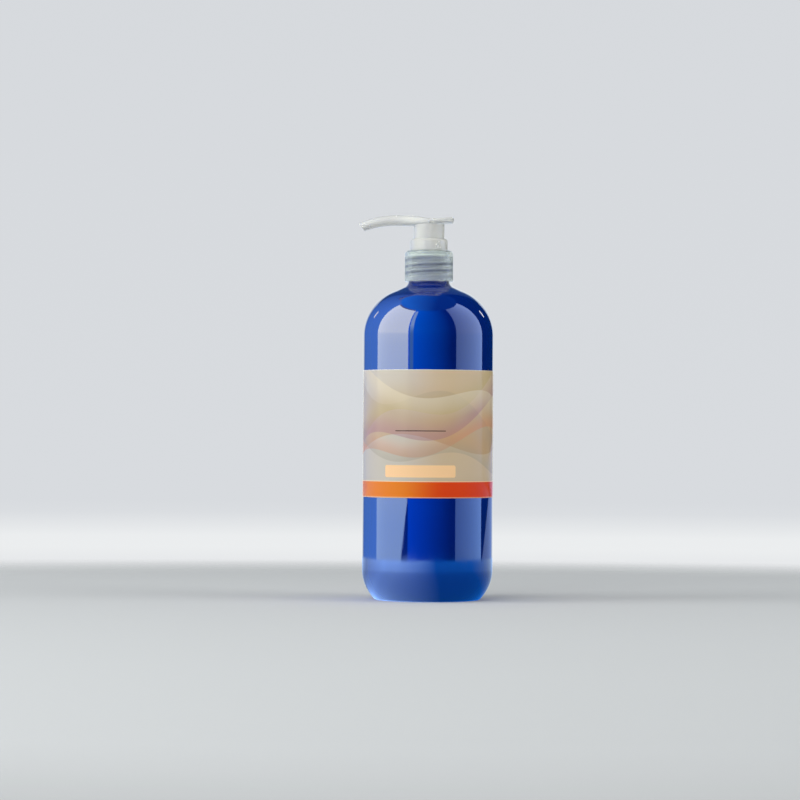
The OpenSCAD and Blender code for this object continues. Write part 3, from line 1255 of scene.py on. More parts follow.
    def label_finish(self) -> PrintedFilm:
        """Varnished film in cream, with an orange foot, a plain panel and wavy veils, whose bands
        are darker and warmer on the right as painted shade.

        Returns:
            The finish.
        """
        low, high = box_mm("label")
        height = float(high[2] - low[2])
        turn = math.radians(360 - self.label_seam)
        return PrintedFilm(
            "varnished_label_film_printed",
            width=turn * self.body_radius,
            height=height,
            # Left and right colour of each band: the right one is the print under painted shade.
            bands=(
                (0.0, "#EDB98A", "#DC9874"),
                (self.margin, "#EC8202", "#E24602"),
                (self.band_height, "#F4D6A8", "#F2C696"),
                (self.band_height + self.line_height, "#C9C1B2", "#CFB998"),
                (height - self.margin, "#EFECE6", "#E4DDD1"),
            ),
            drift=(-22, 12),
            patches=(
                Patch(-6.0, 17.1, 47.9, 7.9, 1.4, "#FFD29B"),
                Patch(-5.5, 43.0, 33.3, 0.55, 0.1, "#3A2C22"),
            ),
            veils=(
                Veil("#BF9260", 0.55, 34, 0.05, 8, 128, 150, 44),
                Veil("#B5A48C", 0.45, 62, -0.22, 9, 96, 40, -30),
                Veil("#BBA96C", 0.42, 57, 0.30, 7, 88, 205, 20),
                Veil("#A97A86", 0.50, 44, 0.24, 8, 104, 245, 15),
                Veil("#D4906C", 0.50, 33, 0.16, 6, 92, 285, 12),
                Veil("#DDD0B4", 0.60, 70, -0.18, 7, 110, 300, -16),
                Veil("#A8A08C", 0.42, 26, -0.10, 5, 84, 10, 12),
            ),
            veil_edge_mm=0.25,
            roughness=0.12,
            ior=1.5,
            specular=0.08,
        )

    def build(self) -> None:
        """Makes and dresses the bottle and its label."""
        place_piece(
            "bottle_shell", self.shell_mesh(), COBALT_PET.build(), Body.BOTTLE, "bottle"
        )
        film = self.label_finish().build()
        place_piece("label_film", self.label_mesh(), film, Body.BOTTLE, "label")


@dataclass
class Closure:
    """The ribbed screw cap, with its thread inside and its hole for the pump's riser."""

    radius: float = 15.75
    crest_radius: float = 15.7
    rib_depth: float = 0.5
    rib_swing: float = 0.8
    ribs: int = 66
    steps_per_rib: int = 6
    lip_height: float = 0.7
    lip_step: float = 0.15
    band_height: float = 3.9
    band_step: float = 0.5
    top_edge: float = 2.3
    small_edge: float = 0.3
    skirt_radius: float = 14.0
    plate: float = 1.3
    plate_corner: float = 0.5
    mouth_edge: float = 0.4
    hole_radius: float = 11.2
    thread_height: float = 0.9
    thread_crest: float = 0.6
    thread_flank: float = 0.6
    thread_start: float = 1.2
    thread_row: float = 0.2
    thread_shade: float = 0.45

    def outline(self) -> tuple[Array, Array, Array]:
        """Closed outline of the cap's wall, up its outside and down its inside.

        Returns:
            Rows of radius and height, the share of the ribs in each row, and the share of
            the thread.
        """
        low, high = box_mm("closure")
        z0, z1 = float(low[2]), float(high[2])
        edge, top = self.small_edge, self.top_edge
        band = z1 - self.band_height
        under = z1 - self.plate
        crest, skirt = self.crest_radius, self.skirt_radius
        lip_top = z0 + self.lip_height
        rib_foot = [crest, lip_top + self.lip_step]
        rib_head = [crest, band - self.band_step]
        corner, mouth = self.plate_corner, self.mouth_edge
        rows = round((under - z0) / self.thread_row)
        parts = [
            arc([self.radius - edge, z0 + edge], edge, -90, 0, 4),
            np.array([[self.radius, lip_top]]),
            np.array([rib_foot]),
            line(rib_foot, rib_head, rows),
            np.array([rib_head]),
            arc([self.radius - edge, band], edge, -60, 0, 4),
            arc([self.radius - top, z1 - top], top, 0, 90, 12),
            arc([self.hole_radius + edge, z1 - edge], edge, 90, 180, 4),
            arc([self.hole_radius + edge, under + edge], edge, 180, 270, 4),
            arc([skirt - corner, under - corner], corner, 90, 0, 4),
            line([skirt, under - corner], [skirt, z0 + mouth], rows),
            arc([skirt + mouth, z0 + mouth], mouth, 180, 270, 4),
        ]
        ribbed_wall, threaded_wall = {2, 3, 4}, {10}
        ribbed, threaded = rows_of(parts, ribbed_wall), rows_of(parts, threaded_wall)
        return np.concatenate(parts), ribbed, threaded

    def mesh(self, screw: ScrewThread) -> bpy.types.Mesh:
        """Mesh of the cap: its outline turned about the axis, where the ribs cut grooves
        into the skirt's radius, as a flattened cosine, and the thread narrows its bore.
        Its UV map says how much painted shade the wall takes where the neck's thread lies behind
        it.

        Args:
            screw: The thread on the neck, between whose turns the cap's thread runs.

        Returns:
            The mesh.
        """
        outline, ribbed, threaded = self.outline()
        sides = self.ribs * self.steps_per_rib
        points = revolve(outline, sides)
        turn = np.arange(sides)[None] / sides
        wave = np.cos(2 * math.pi * self.ribs * turn)
        groove = np.clip(0.5 - self.rib_swing * wave, 0, 1)
        inner = ScrewThread(
            pitch=screw.pitch,
            height=self.thread_height,
            crest=self.thread_crest,
            flank=self.thread_flank,
            front_z=screw.front_z - screw.pitch / 2,
            low=float(outline[:, 1].min()) + self.thread_start,
            high=screw.high,
        )
        bead = inner.bead(turn, points[..., 2]) * threaded[:, None]
        wall = np.clip(ribbed + threaded, 0, 1)[:, None]
        # Share of painted shade: where the neck's thread lies behind the wall.
        behind = screw.bead(turn, points[..., 2]) * wall / screw.height
        radius = outline[:, :1] - self.rib_depth * groove * ribbed[:, None] - bead
        points[..., :2] *= (radius / outline[:, :1])[..., None]
        uv = np.stack([self.thread_shade * behind, 0 * behind], -1)
        return mesh_of("closure_cap", points, ring=True, crease=40, uv=uv)

    def build(self, screw: ScrewThread) -> None:
        """Makes and dresses the cap.

        Args:
            screw: The thread on the neck.
        """
        place_piece(
            "closure_cap", self.mesh(screw), NATURAL_PP.build(), Body.CLOSURE, "closure"
        )


@dataclass
class PumpBody:
    """The pieces that stay with the neck when the head is pressed."""

    collar_edge: float = 1.9
    small_edge: float = 0.25
    riser_radius: float = 11.1
    sleeve_hole: float = 10.25
    lip: float = 2.0
    sides: int = 128

    def collar_mesh(self) -> bpy.types.Mesh:
        """Mesh of the locking collar: a ring with a lip at its top, turned about the axis.

        Returns:
            The mesh.
        """
        low, high = box_mm("locking_collar")
        z0, z1, outer = float(low[2]), float(high[2]), float(high[0])
        edge = self.small_edge
        outline = rounded_outline(
            [
                (self.riser_radius, z0, edge),
                (outer, z0, edge),
                (outer, z1, self.collar_edge),
                (self.sleeve_hole, z1, edge),
                (self.sleeve_hole, z1 - self.lip, edge),
                (self.riser_radius, z1 - self.lip, edge),
            ],
            8,
        )
        return mesh_of("locking_ring", revolve(outline, self.sides), ring=True)

    def build(self) -> None:
        """Makes the collar, and dresses it and the pump's inner pieces."""
        clear = POLISHED_PP.build()
        place_piece("locking_ring", self.collar_mesh(), clear, Body.PUMP, "locking_collar")
        pp = NATURAL_PP.build()
        for node in ("pump_cylinder", "stem_guide", "spring_seat"):
            dress_node(node, pp)
        dress_node("gasket", EVA_FOAM.build())
        dress_node("dip_tube", EXTRUDED_PE.build())
        dress_node("inlet_ball", BALL_STEEL.build())


@dataclass
class Plunger:
    """The spring, which the head squashes, and the piston, which goes down with it."""

    wire: float = 0.9
    coils: float = 7.0
    dead_coils: float = 1.0
    tight: float = 0.99
    steps_per_coil: int = 40
    sides: int = 12

    def spring_mesh(self) -> bpy.types.Mesh:
        """Mesh of the spring: a round wire carried up a helix whose end coils lie close.

        The helix climbs by tight, a little over one wire, for each dead coil, and shares
        out the rest of its height over the coils between them.

        Returns:
            The mesh.
        """
        low, high = box_mm("spring")
        radius = (float(high[0] - low[0]) - self.wire) / 2
        length = float(high[2] - low[2]) - self.wire
        turn = np.linspace(0, self.coils, round(self.coils * self.steps_per_coil) + 1)
        free = self.coils - 2 * self.dead_coils
        pitch = (length - 2 * self.dead_coils * self.tight) / free
        ends = [0, self.dead_coils, self.dead_coils + free, self.coils]
        heights = np.cumsum([0, self.tight * ends[1], pitch * free, self.tight * ends[1]])
        climb = np.interp(turn, ends, heights)[:, None]
        a = 2 * math.pi * turn[:, None]
        b = 2 * math.pi * np.arange(self.sides)[None] / self.sides
        r = radius + self.wire / 2 * np.cos(b)
        z = low[2] + self.wire / 2 + climb + self.wire / 2 * np.sin(b)
        return mesh_of("return_spring", turned(r, a, z), crease=60)

    def build(self) -> None:
        """Makes and dresses the spring and the piston. The spring rides on the pump, where its
        foot stands, on a mesh of its own.
        """
        steel = SPRING_STEEL.build()
        spring = place_piece("return_spring", self.spring_mesh(), steel, Body.PUMP, "spring")
        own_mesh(spring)
        dress_node("piston", WAXY_LDPE.build())


@dataclass
class Head:
    """The press-down head: thumb pad, curved spout, sleeve and the socket for the stem."""

    reach: float = 46.3
    rear: float = 16.3
    pad_width: float = 24.0
    pad_thickness: float = 3.2
    crest_rise: float = 2.0
    spout: float = 6.8
    bore: float = 3.4
    bend_x: float = -22.0
    bend_top: float = 54.0
    bend_under: float = 56.0
    crest_x: tuple[float, float] = (-13.0, 1.5)
    step_x: tuple[float, float] = (-9.0, 8.0)
    spread_x: float = -22.0
    square_x: tuple[float, float] = (-24.0, 0.0)
    duct_x: tuple[float, float] = (-2.0, -17.0)
    rise_x: float = 3.0
    rise_radius: float = 65.0
    rear_edge: float = 1.6
    round_power: float = 2.0
    square_power: float = 3.6
    sleeve_radius: float = 10.0
    sleeve_wall: float = 1.0
    fillet: float = 0.8
    stem_radius: float = 3.6
    socket_wall: float = 1.2
    socket_length: float = 8.0
    duct_drop: float = 2.8
    stem_drop: float = 2.4
    duct_wall: float = 1.2
    tip_cut: float = 40.0
    overrun: float = 3.0
    least_rim: float = 0.02
    least_half_width: float = 0.4
    rear_angles: tuple[float, float, int] = (3, 87, 36)
    sleeve_edge: float = 0.25
    sleeve_bite: float = 0.6
    socket_edge: float = 0.3
    socket_pole: float = 0.5
    well_overrun: float = 1.0
    duct_overrun: float = 5.0
    duct_rings: int = 60
    duct_sides: int = 40
    cutter_depth: float = 20.0
    cutter_length: float = 30.0
    crease: float = 38.0
    stations: int = 170
    sides: int = 72
    sleeve_sides: int = 128
    socket_sides: int = 96
    well_sides: int = 64
    crest_z: float = field(init=False)
    sleeve_z: float = field(init=False)

    def __post_init__(self) -> None:
        """Reads the head's height and its sleeve's lower end from the node's box."""
        low, high = box_mm("pump_head")
        self.crest_z, self.sleeve_z = float(high[2]), float(low[2])

    @property
    def pad_z(self) -> float:
        """Height of the pad's lowest point."""
        return self.crest_z - self.crest_rise

    @property
    def pad_middle(self) -> float:
        """Place of the middle of the pad's round end."""
        return self.rear - self.pad_width / 2

    @property
    def duct_z(self) -> float:
        """Height of the duct over the stem."""
        return self.pad_z - self.duct_drop

    @property
    def stem_top(self) -> float:
        """Height of the stem's upper end."""
        return self.duct_z - self.stem_drop

    def top(self, x: Array) -> Array:
        """Height of the upper side: a falling arc along the spout, a soft step down from
        the crest to the pad, and a slow rise to the pad's rear.

        Args:
            x: Places along the head.

        Returns:
            The height at each place.
        """
        spout = self.crest_z - (x - self.bend_x) ** 2 / (2 * self.bend_top)
        crest = self.crest_z - self.crest_rise * ease(x, *self.crest_x)
        pad = self.pad_z + (x - self.rise_x) ** 2 / (2 * self.rise_radius)
        return np.where(x < self.bend_x, spout, np.where(x < self.rise_x, crest, pad))

    def under(self, x: Array) -> Array:
        """Height of the underside: a falling arc along the spout, then a soft step up to
        the flat under the pad.

        Args:
            x: Places along the head.

        Returns:
            The height at each place.
        """
        low = self.crest_z - self.spout
        spout = low - (x - self.bend_x) ** 2 / (2 * self.bend_under)
        step = self.pad_z - self.pad_thickness - low
        return np.where(x < self.bend_x, spout, low + step * ease(x, *self.step_x))

    def half_width(self, x: Array) -> Array:
        """Half width: half the spout, growing softly to the pad, which ends in a circle.

        Args:
            x: Places along the head.

        Returns:
            The half width at each place.
        """
        half = self.pad_width / 2
        rear = np.sqrt(np.maximum(0, half**2 - (x - self.pad_middle) ** 2))
        grown = ease(x, self.spread_x, self.pad_middle)
        front = self.spout / 2 + (half - self.spout / 2) * grown
        return np.where(x > self.pad_middle, rear, front)

    def duct_height(self, x: Array) -> Array:
        """Height of the duct's middle: low over the stem, then amid the spout.

        Args:
            x: Places along the head.

        Returns:
            The height at each place.
        """
        spout = (self.top(x) + self.under(x)) / 2
        return self.duct_z + (spout - self.duct_z) * ease(-x, -self.duct_x[0], -self.duct_x[1])

    def body_mesh(self) -> bpy.types.Mesh:
        """Mesh of pad and spout: a ring at each place along x, a superellipse
        |y / w|^p + |z / h|^p = 1 whose power grows from 2 on the spout to 3.6 on the pad.
        Towards the rear rim the height shrinks as a quarter circle.

        Returns:
            The mesh.
        """
        t = np.linspace(0, 1, self.stations)
        front = self.pad_middle - (self.reach + self.overrun + self.pad_middle) * t
        a = np.radians(np.linspace(*self.rear_angles))
        x = np.concatenate([self.pad_middle + self.pad_width / 2 * np.cos(a), front])
        over = np.maximum(0, x - (self.rear - self.rear_edge)) / self.rear_edge
        edge = np.sqrt(np.maximum(self.least_rim, 1 - over**2))
        power = 2 / (
            self.round_power
            + (self.square_power - self.round_power) * ease(x, *self.square_x)
        )
        middle = (self.top(x) + self.under(x)) / 2
        high = edge * (self.top(x) - self.under(x)) / 2
        wide = np.maximum(self.least_half_width, self.half_width(x))
        k = 2 * math.pi * (np.arange(self.sides)[None] + 0.5) / self.sides
        c, s = np.cos(k), np.sin(k)
        p = power[:, None]
        y = wide[:, None] * np.sign(c) * np.abs(c) ** p
        z = middle[:, None] + high[:, None] * np.sign(s) * np.abs(s) ** p
        return mesh_of("head_body", np.stack([x[:, None] + 0 * k, y, z], -1))

    def sleeve_mesh(self) -> bpy.types.Mesh:
        """Mesh of the sleeve, turned about the axis, flared where it meets the pad.

        Returns:
            The mesh.
        """
        r1, r0 = self.sleeve_radius, self.sleeve_radius - self.sleeve_wall
        under = self.pad_z - self.pad_thickness
        f, edge, bite = self.fillet, self.sleeve_edge, self.sleeve_bite
        outline = np.concatenate(
            [
                arc([r0 + edge, self.sleeve_z + edge], edge, 180, 270, 4),
                arc([r1 - edge, self.sleeve_z + edge], edge, 270, 360, 4),
                arc([r1 + f, under - f], f, 180, 90, 6),
                [[r1 + f, under + bite], [r0 - f, under + bite]],
                arc([r0 - f, under - f], f, 90, 0, 6),
            ]
        )
        return mesh_of("head_sleeve", revolve(outline, self.sleeve_sides), ring=True)

    def socket_mesh(self) -> bpy.types.Mesh:
        """Mesh of the boss round the stem, turned about the axis.

        Returns:
            The mesh.
        """
        r = self.stem_radius + self.socket_wall
        z0 = self.stem_top - self.socket_length
        pole, edge = self.socket_pole, self.socket_edge
        rim = arc([r - edge, z0 + edge], edge, -90, 0, 4)
        outline = np.vstack([[pole, z0], rim, [[r, self.duct_z], [pole, self.duct_z]]])
        return mesh_of("head_socket", revolve(outline, self.socket_sides))

    def well_mesh(self) -> bpy.types.Mesh:
        """Mesh of the stem's bore and the hole above it, up to the duct.

        Returns:
            The mesh.
        """
        r, b = self.stem_radius, self.bore / 2
        z0 = self.stem_top - self.socket_length - self.well_overrun
        lower = [[POLE, z0], [r, z0], [r, self.stem_top]]
        upper = [[b, self.stem_top], [b, self.duct_z], [POLE, self.duct_z]]
        outline = np.array(lower + upper)
        return mesh_of("head_well", revolve(outline, self.well_sides))

    def pipe_mesh(self, name: str, radius: float, start: float, stop: float) -> bpy.types.Mesh:
        """Mesh of a round rod that follows the duct's middle.

        Args:
            name: Name of the mesh.
            radius: Radius of the rod.
            start: Place along x at which it starts.
            stop: Place along x at which it ends.

        Returns:
            The mesh.
        """
        x = np.linspace(start, stop, self.duct_rings)[:, None]
        k = 2 * math.pi * np.arange(self.duct_sides)[None] / self.duct_sides
        y = radius * np.cos(k) + 0 * x
        z = self.duct_height(x) + radius * np.sin(k)
        return mesh_of(name, np.stack([x + 0 * k, y, z], -1))

    def tip_mesh(self) -> bpy.types.Mesh:
        """Mesh of the block that cuts the spout's tip off at its slant.

        Returns:
            The mesh.
        """
        a = math.radians(self.tip_cut)
        tip = np.array([-self.reach, float(self.top(np.array(-self.reach)))])
        down = np.array([math.sin(a), -math.cos(a)])
        away = np.array([-math.cos(a), -math.sin(a)])
        deep = self.cutter_depth
        upper, lower = tip - deep * down, tip + self.cutter_length * down
        sides = np.array([upper, lower, lower + deep * away, upper + deep * away])[None]
        y = np.array([-deep, deep])[:, None]
        x, z = sides[..., 0], sides[..., 1]
        points = np.stack([x + 0 * y, y + 0 * x, z + 0 * y], -1)
        return mesh_of("head_tip_cut", points)

    def mesh(self) -> bpy.types.Mesh:
        """Mesh of the whole head: its parts joined, then bored and cut.

        Returns:
            The mesh.
        """
        sleeve = self.sleeve_radius - self.sleeve_wall / 2
        past = self.reach + self.duct_overrun
        bore = self.bore / 2
        done = combine(
            "press_head",
            self.body_mesh(),
            [
                ("UNION", self.sleeve_mesh()),
                ("UNION", self.socket_mesh()),
                ("UNION", self.pipe_mesh("duct_wall", bore + self.duct_wall, 0, -sleeve)),
                ("DIFFERENCE", self.well_mesh()),
                ("DIFFERENCE", self.pipe_mesh("duct", bore, 0, -past)),
                ("DIFFERENCE", self.tip_mesh()),
            ],
        )
        done.polygons.foreach_set("use_smooth", np.ones(len(done.polygons), bool))
        done.set_sharp_from_angle(angle=math.radians(self.crease))
        return done

    def build(self) -> None:
        """Makes and dresses the head, and dresses what it carries."""
        pp = POLISHED_PP.build()
        place_piece("press_head", self.mesh(), pp, Body.HEAD, "pump_head")
        for node in ("stem", "piston_retainer"):
            dress_node(node, pp)
        dress_node("outlet_ball", BALL_STEEL.build())


# ---------------------------------------------------------------- studio


@dataclass(frozen=True)
class Card:
    """A softbox or a flag that only shows in reflections, on a wall round the object.

    It runs from start to stop, in degrees to the right of the front, and from low to high,
    in metres as its radius is. Its brightness climbs from dim, at the height fade[0], to
    strength, at fade[1], and its colour goes from the foot's to its own. From its left to
    its right side it keeps the shares of its brightness that sides gives. At its top it
    starts lean degrees further left than at its foot.
    """

    name: str
    start: float
    stop: float
    low: float
    high: float
    strength: float
    colour: str = "#FFFFFF"
    dim: float = 0.0
    fade: tuple[float, float] = (-9.0, -8.0)
    foot: str | None = None
    sides: tuple[float, float] = (1.0, 1.0)
    lean: float = 0.0
    radius: float = 1.6


@dataclass(frozen=True)
class Lamp:
    """A soft square lamp that looks at the middle of the object."""

    name: str
    azimuth: float
    elevation: float
    size: float
    power: float


@dataclass
class Studio:
    """Pale table, pale room, soft lamps and the cards that the gloss reflects.

    Lengths are in metres, but mirror_gap_mm, lens and sensor are in millimetres.
    """

    table_radius: float = 0.92
    table_middle: float = -0.29
    table_fade: float = 0.3
    table_colour: str = "#CCCFCF"
    table_roughness: float = 0.6
    # The mirrored table glows: a painted reflection of the table, dimmer near its middle as
    # painted shade of the bottle.
    mirror_radius: float = 0.69
    mirror_fade: float = 0.03
    mirror_gap_mm: float = 0.5
    mirror_strength: float = 7.4
    mirror_dim: float = 0.45
    mirror_left: str = "#8FB8FF"
    mirror_right: str = "#1055A5"
    mirror_back: str = "#56677F"
    mirror_across: tuple[float, float] = (-0.8, 0.25)
    mirror_behind: tuple[float, float] = (-0.15, 0.7)
    mirror_out: tuple[float, float] = (0.05, 0.6)
    sheet_rings: int = 40
    sheet_sides: int = 96
    # Colours of the room by elevation in degrees: the far table, then a painted band of light
    # along the table's far edge, then the wall.
    wall_and_glow_bands: tuple[tuple[float, str], ...] = (
        (-2.75, "#C2C5C6"),
        (-2.55, "#E6E8EA"),
        (-2.1, "#EEF0F1"),
        (-1.5, "#D8DBDF"),
        (20.0, "#D5D8DC"),
    )
    wall_span: float = 0.5
    room_light: str = "#F2F5FA"
    room_strength: float = 0.42
    lamp_distance: float = 1.7
    target: tuple[float, float, float] = (0.0, 0.0, 0.12)
    ceiling_height: float = 2.85
    ceiling_reach: float = 1.02
    ceiling_hole: float = 0.001
    ceiling_sides: int = 64
    ceiling_colour: str = "#3088FF"
    ceiling_across: tuple[float, float] = (-1.2, 0.5)
    ceiling_strength: tuple[float, float] = (3.6, 0.4)
    cards: tuple[Card, ...] = (
        Card("card_left", -101, -36, -0.4, 2.6, 6.2, "#F0F8FF", 4.9, (0.0, 0.34), "#AFD1FF"),
        Card("foot_left", -51, -35, -0.06, 0.03, 0.0, lean=-15, radius=1.58),
        Card(
            "strip_left", -33.6, -27, 0.06, 2.4, 4.5, "#B0D0FF",
            dim=2.4, fade=(0.22, 0.8), foot="#70B0FF", radius=1.55,
        ),
        Card("flag_left", -157, -101, -0.4, 2.8, 3.7, "#669FFF", sides=(0.2, 1.0)),
        Card("flag_front", -36, 49, -0.6, 2.8, 0.0),
        Card(
            "glow_front", -36, 41, -0.4, 2.8, 5.0, "#006EFF",
            dim=3.8, fade=(0.0, 0.3), foot="#0052FF", sides=(1.0, 0.0), radius=1.59,
        ),
        Card(
            "card_right", 49, 108, -0.4, 2.8, 3.6, "#AFC8FF",
            dim=3.5, fade=(0.0, 0.34), foot="#8BB7FF", sides=(0.5, 1.1),
        ),
        Card("flag_right", 108, 157, -0.4, 2.8, 0.08, "#28A4FF"),
        Card("foot_right", 104.6, 157, -0.06, 0.085, 1.4, "#9CBCFF", lean=-48.5, radius=1.58),
        Card("flag_back", 157, 203, 0.75, 2.8, 0.25, "#7FC0FF"),
        Card("wall_back", 157, 203, -0.1, 0.75, 1.15, "#EAF6FF"),
        Card("glint_left", -131.5, -127.5, 0.72, 0.97, 3.5, radius=1.5),
        Card("glint_right", 131, 135, 0.72, 0.96, 4.0, radius=1.5),
    )
    card_rows: int = 8
    card_columns: int = 24
    lamps: tuple[Lamp, ...] = (
        Lamp("key_left", -74, 32, 0.8, 11.5),
        Lamp("key_front", -30, 25, 1.2, 9.5),
        Lamp("fill_right", 74, 30, 1.0, 9.5),
        Lamp("top", 0, 84, 1.1, 2.5),
    )
    lens: float = 135.0
    sensor: float = 36.0
    clip: tuple[float, float] = (0.05, 20.0)
    eye: tuple[float, float, float] = (-0.0184, -1.96, 0.110)
    pitch: float = 0.585
    roll: float = 0.35

    def build(self) -> None:
        """Makes the table, the world, the cards, the lamps and the camera."""
        self.build_table()
        self.build_mirror()
        self.build_world()
        for card in self.cards:
            self.build_card(card)
        self.build_ceiling()
        for lamp in self.lamps:
            self.build_lamp(lamp)
        self.build_camera()
        bpy.context.scene.view_settings.view_transform = "Standard"

    def build_table(self) -> None:
        """Makes the pale table that is seen, a large round sheet with a soft rim."""
        material, tree = new_tree("table_matt")
        inputs = {
            "Base Color": linear(self.table_colour),
            "Roughness": self.table_roughness,
            "Specular IOR Level": 0.0,
        }
        top = add_node(tree, "BsdfPrincipled", inputs)
        self.fade_out(tree, top, self.table_radius, self.table_middle, self.table_fade)
        table = self.sheet("table", self.table_radius, self.table_middle, 0.0, material)
        table.visible_glossy = False

    def build_mirror(self) -> None:
        """Makes the table that only the gloss shows, a smaller glowing sheet just under the first,
        as a painted reflection of the table: bright on the left, blue on the right, grey behind
        and dimmer near the middle, as painted shade of the bottle that stands there.
        """
        material, tree = new_tree("table_mirrored")
        place = add_node(tree, "TexCoord").outputs["Object"]
        way = add_node(tree, "VectorMath", {0: place}, operation="NORMALIZE")
        side = add_node(tree, "SeparateXYZ", {0: way.outputs[0]})
        out = add_node(tree, "VectorMath", {0: place}, operation="LENGTH")
        shade = linear(self.mirror_left)
        for axis, (start, stop), colour in (
            ("X", self.mirror_across, self.mirror_right),
            ("Y", self.mirror_behind, self.mirror_back),
        ):
            inputs = {"Value": side.outputs[axis], "From Min": start, "From Max": stop}
            share = add_node(tree, "MapRange", inputs)
            inputs = {"Factor": share.outputs[0], 6: shade, 7: linear(colour)}
            shade = add_node(tree, "Mix", inputs, data_type="RGBA").outputs[2]
        # Dimmer near the middle: painted shade of the bottle on the table.
        inputs = {
            "Value": out.outputs["Value"],
            "From Min": self.mirror_out[0],
            "From Max": self.mirror_out[1],
            "To Min": self.mirror_dim * self.mirror_strength,
            "To Max": self.mirror_strength,
        }
        power = add_node(tree, "MapRange", inputs)
        # The sheet glows, as a painted reflection of the lit table.
        glow = add_node(tree, "Emission", {0: shade, 1: power.outputs[0]})
        self.fade_out(tree, glow, self.mirror_radius, 0.0, self.mirror_fade)
        low = -self.mirror_gap_mm
        only_reflected(self.sheet("table_mirrored", self.mirror_radius, 0.0, low, material))

    def sheet(
        self, name: str, radius: float, middle: float, z: float, material: bpy.types.Material
    ) -> bpy.types.Object:
        """Makes a round level sheet.

        Args:
            name: Its name.
            radius: Its radius, in metres.
            middle: Place of its middle along Y, in metres.
            z: Its height, in millimetres.
            material: Its finish.

        Returns:
            The new object.
        """
        r = np.linspace(0.0, 1, self.sheet_rings)[:, None] * radius / MM
        a = 2 * math.pi * np.arange(self.sheet_sides + 1)[None] / self.sheet_sides
        points = turned(r, a, z) + [0, middle / MM, 0]
        return self.hang(name, points, material)

    def hang(
        self,
        name: str,
        points: Array,
        material: bpy.types.Material,
        uv: Array | None = None,
    ) -> bpy.types.Object:
        """Puts up an open sheet of the studio.

        Args:
            name: Its name.
            points: Its grid of points, in millimetres.
            material: Its finish.
            uv: Grid of rows, columns and two coordinates for a UV map.

        Returns:
            The new object.
        """
        item = link_object(name, mesh_of(name, points, open_sheet=True, uv=uv))
        item.data.materials.append(material)
        return item

    def fade_out(
        self,
        tree: bpy.types.NodeTree,
        shader: bpy.types.Node,
        radius: float,
        middle: float,
        fade: float,
    ) -> None:
        """Ends a sheet's node tree with the shader, turned clear over the sheet's rim.

        Args:
            tree: Node tree of the sheet's material.
            shader: What the sheet shows inside the rim.
            radius: Radius of the sheet, in metres.
            middle: Place of its middle along Y, in metres.
            fade: Width of the rim, in metres.
        """
        place = add_node(tree, "TexCoord").outputs["Object"]
        inputs = {0: place, 1: (0.0, middle, 0.0)}
        out = add_node(tree, "VectorMath", inputs, operation="DISTANCE").outputs["Value"]
        inputs = {"Value": out, "From Min": radius - fade, "From Max": radius}
        gone = add_node(tree, "MapRange", inputs, interpolation_type="SMOOTHSTEP")
        clear = add_node(tree, "BsdfTransparent")
        inputs = {0: gone.outputs[0], 1: shader.outputs[0], 2: clear.outputs[0]}
        mix = add_node(tree, "MixShader", inputs)
        add_node(tree, "OutputMaterial", {"Surface": mix.outputs[0]})

    def build_world(self) -> None:
        """Makes the room: the wall's colour where it is seen, with a painted band of light along
        the table's far edge, and plain soft light.
        """
        world = bpy.data.worlds.new("room")
        bpy.context.scene.world = world
        world.use_nodes = True
        tree = world.node_tree
        tree.nodes.clear()
        path = add_node(tree, "LightPath")
        seen = path.outputs["Is Camera Ray"]
        for kind in ("Is Glossy Ray", "Is Transmission Ray"):
            inputs = {0: seen, 1: path.outputs[kind]}
            seen = add_node(tree, "Math", inputs, operation="MAXIMUM").outputs[0]
        way = add_node(tree, "TexCoord").outputs["Generated"]
        height = add_node(tree, "SeparateXYZ", {0: way}).outputs["Z"]
        inputs = {"Value": height, "From Min": -self.wall_span, "From Max": self.wall_span}
        share = add_node(tree, "MapRange", inputs)
        # The stops hold the painted band of light along the table's far edge.
        stops = [
            (0.5 + 0.5 * math.sin(math.radians(elevation)) / self.wall_span, colour)
            for elevation, colour in self.wall_and_glow_bands
        ]
        seen_wall_and_glow = fill_ramp(add_node(tree, "ValToRGB", {"Fac": share.outputs[0]}), stops)
        wall = add_node(tree, "Background", {0: seen_wall_and_glow, 1: 1.0})
        inputs = {0: linear(self.room_light), 1: self.room_strength}
        light = add_node(tree, "Background", inputs)
        inputs = {0: seen, 1: light.outputs[0], 2: wall.outputs[0]}
        mix = add_node(tree, "MixShader", inputs)
        add_node(tree, "OutputWorld", {0: mix.outputs[0]})

    def build_card(self, card: Card) -> None:
        """Makes one card, a piece of an upright cylinder that only reflections show.

        Args:
            card: Its place, brightness and colour.
        """
        t = np.linspace(0, 1, self.card_rows)[:, None]
        share = np.linspace(0, 1, self.card_columns)[None]
        start = card.start - card.lean * t
        a = np.radians(start + (card.stop - start) * share - 90)
        z = (card.low + (card.high - card.low) * t) / MM
        uv = np.stack([share + 0 * t, t + 0 * share], -1)
        material = self.card_finish(card)
        only_reflected(self.hang(card.name, turned(card.radius / MM, a, z), material, uv))

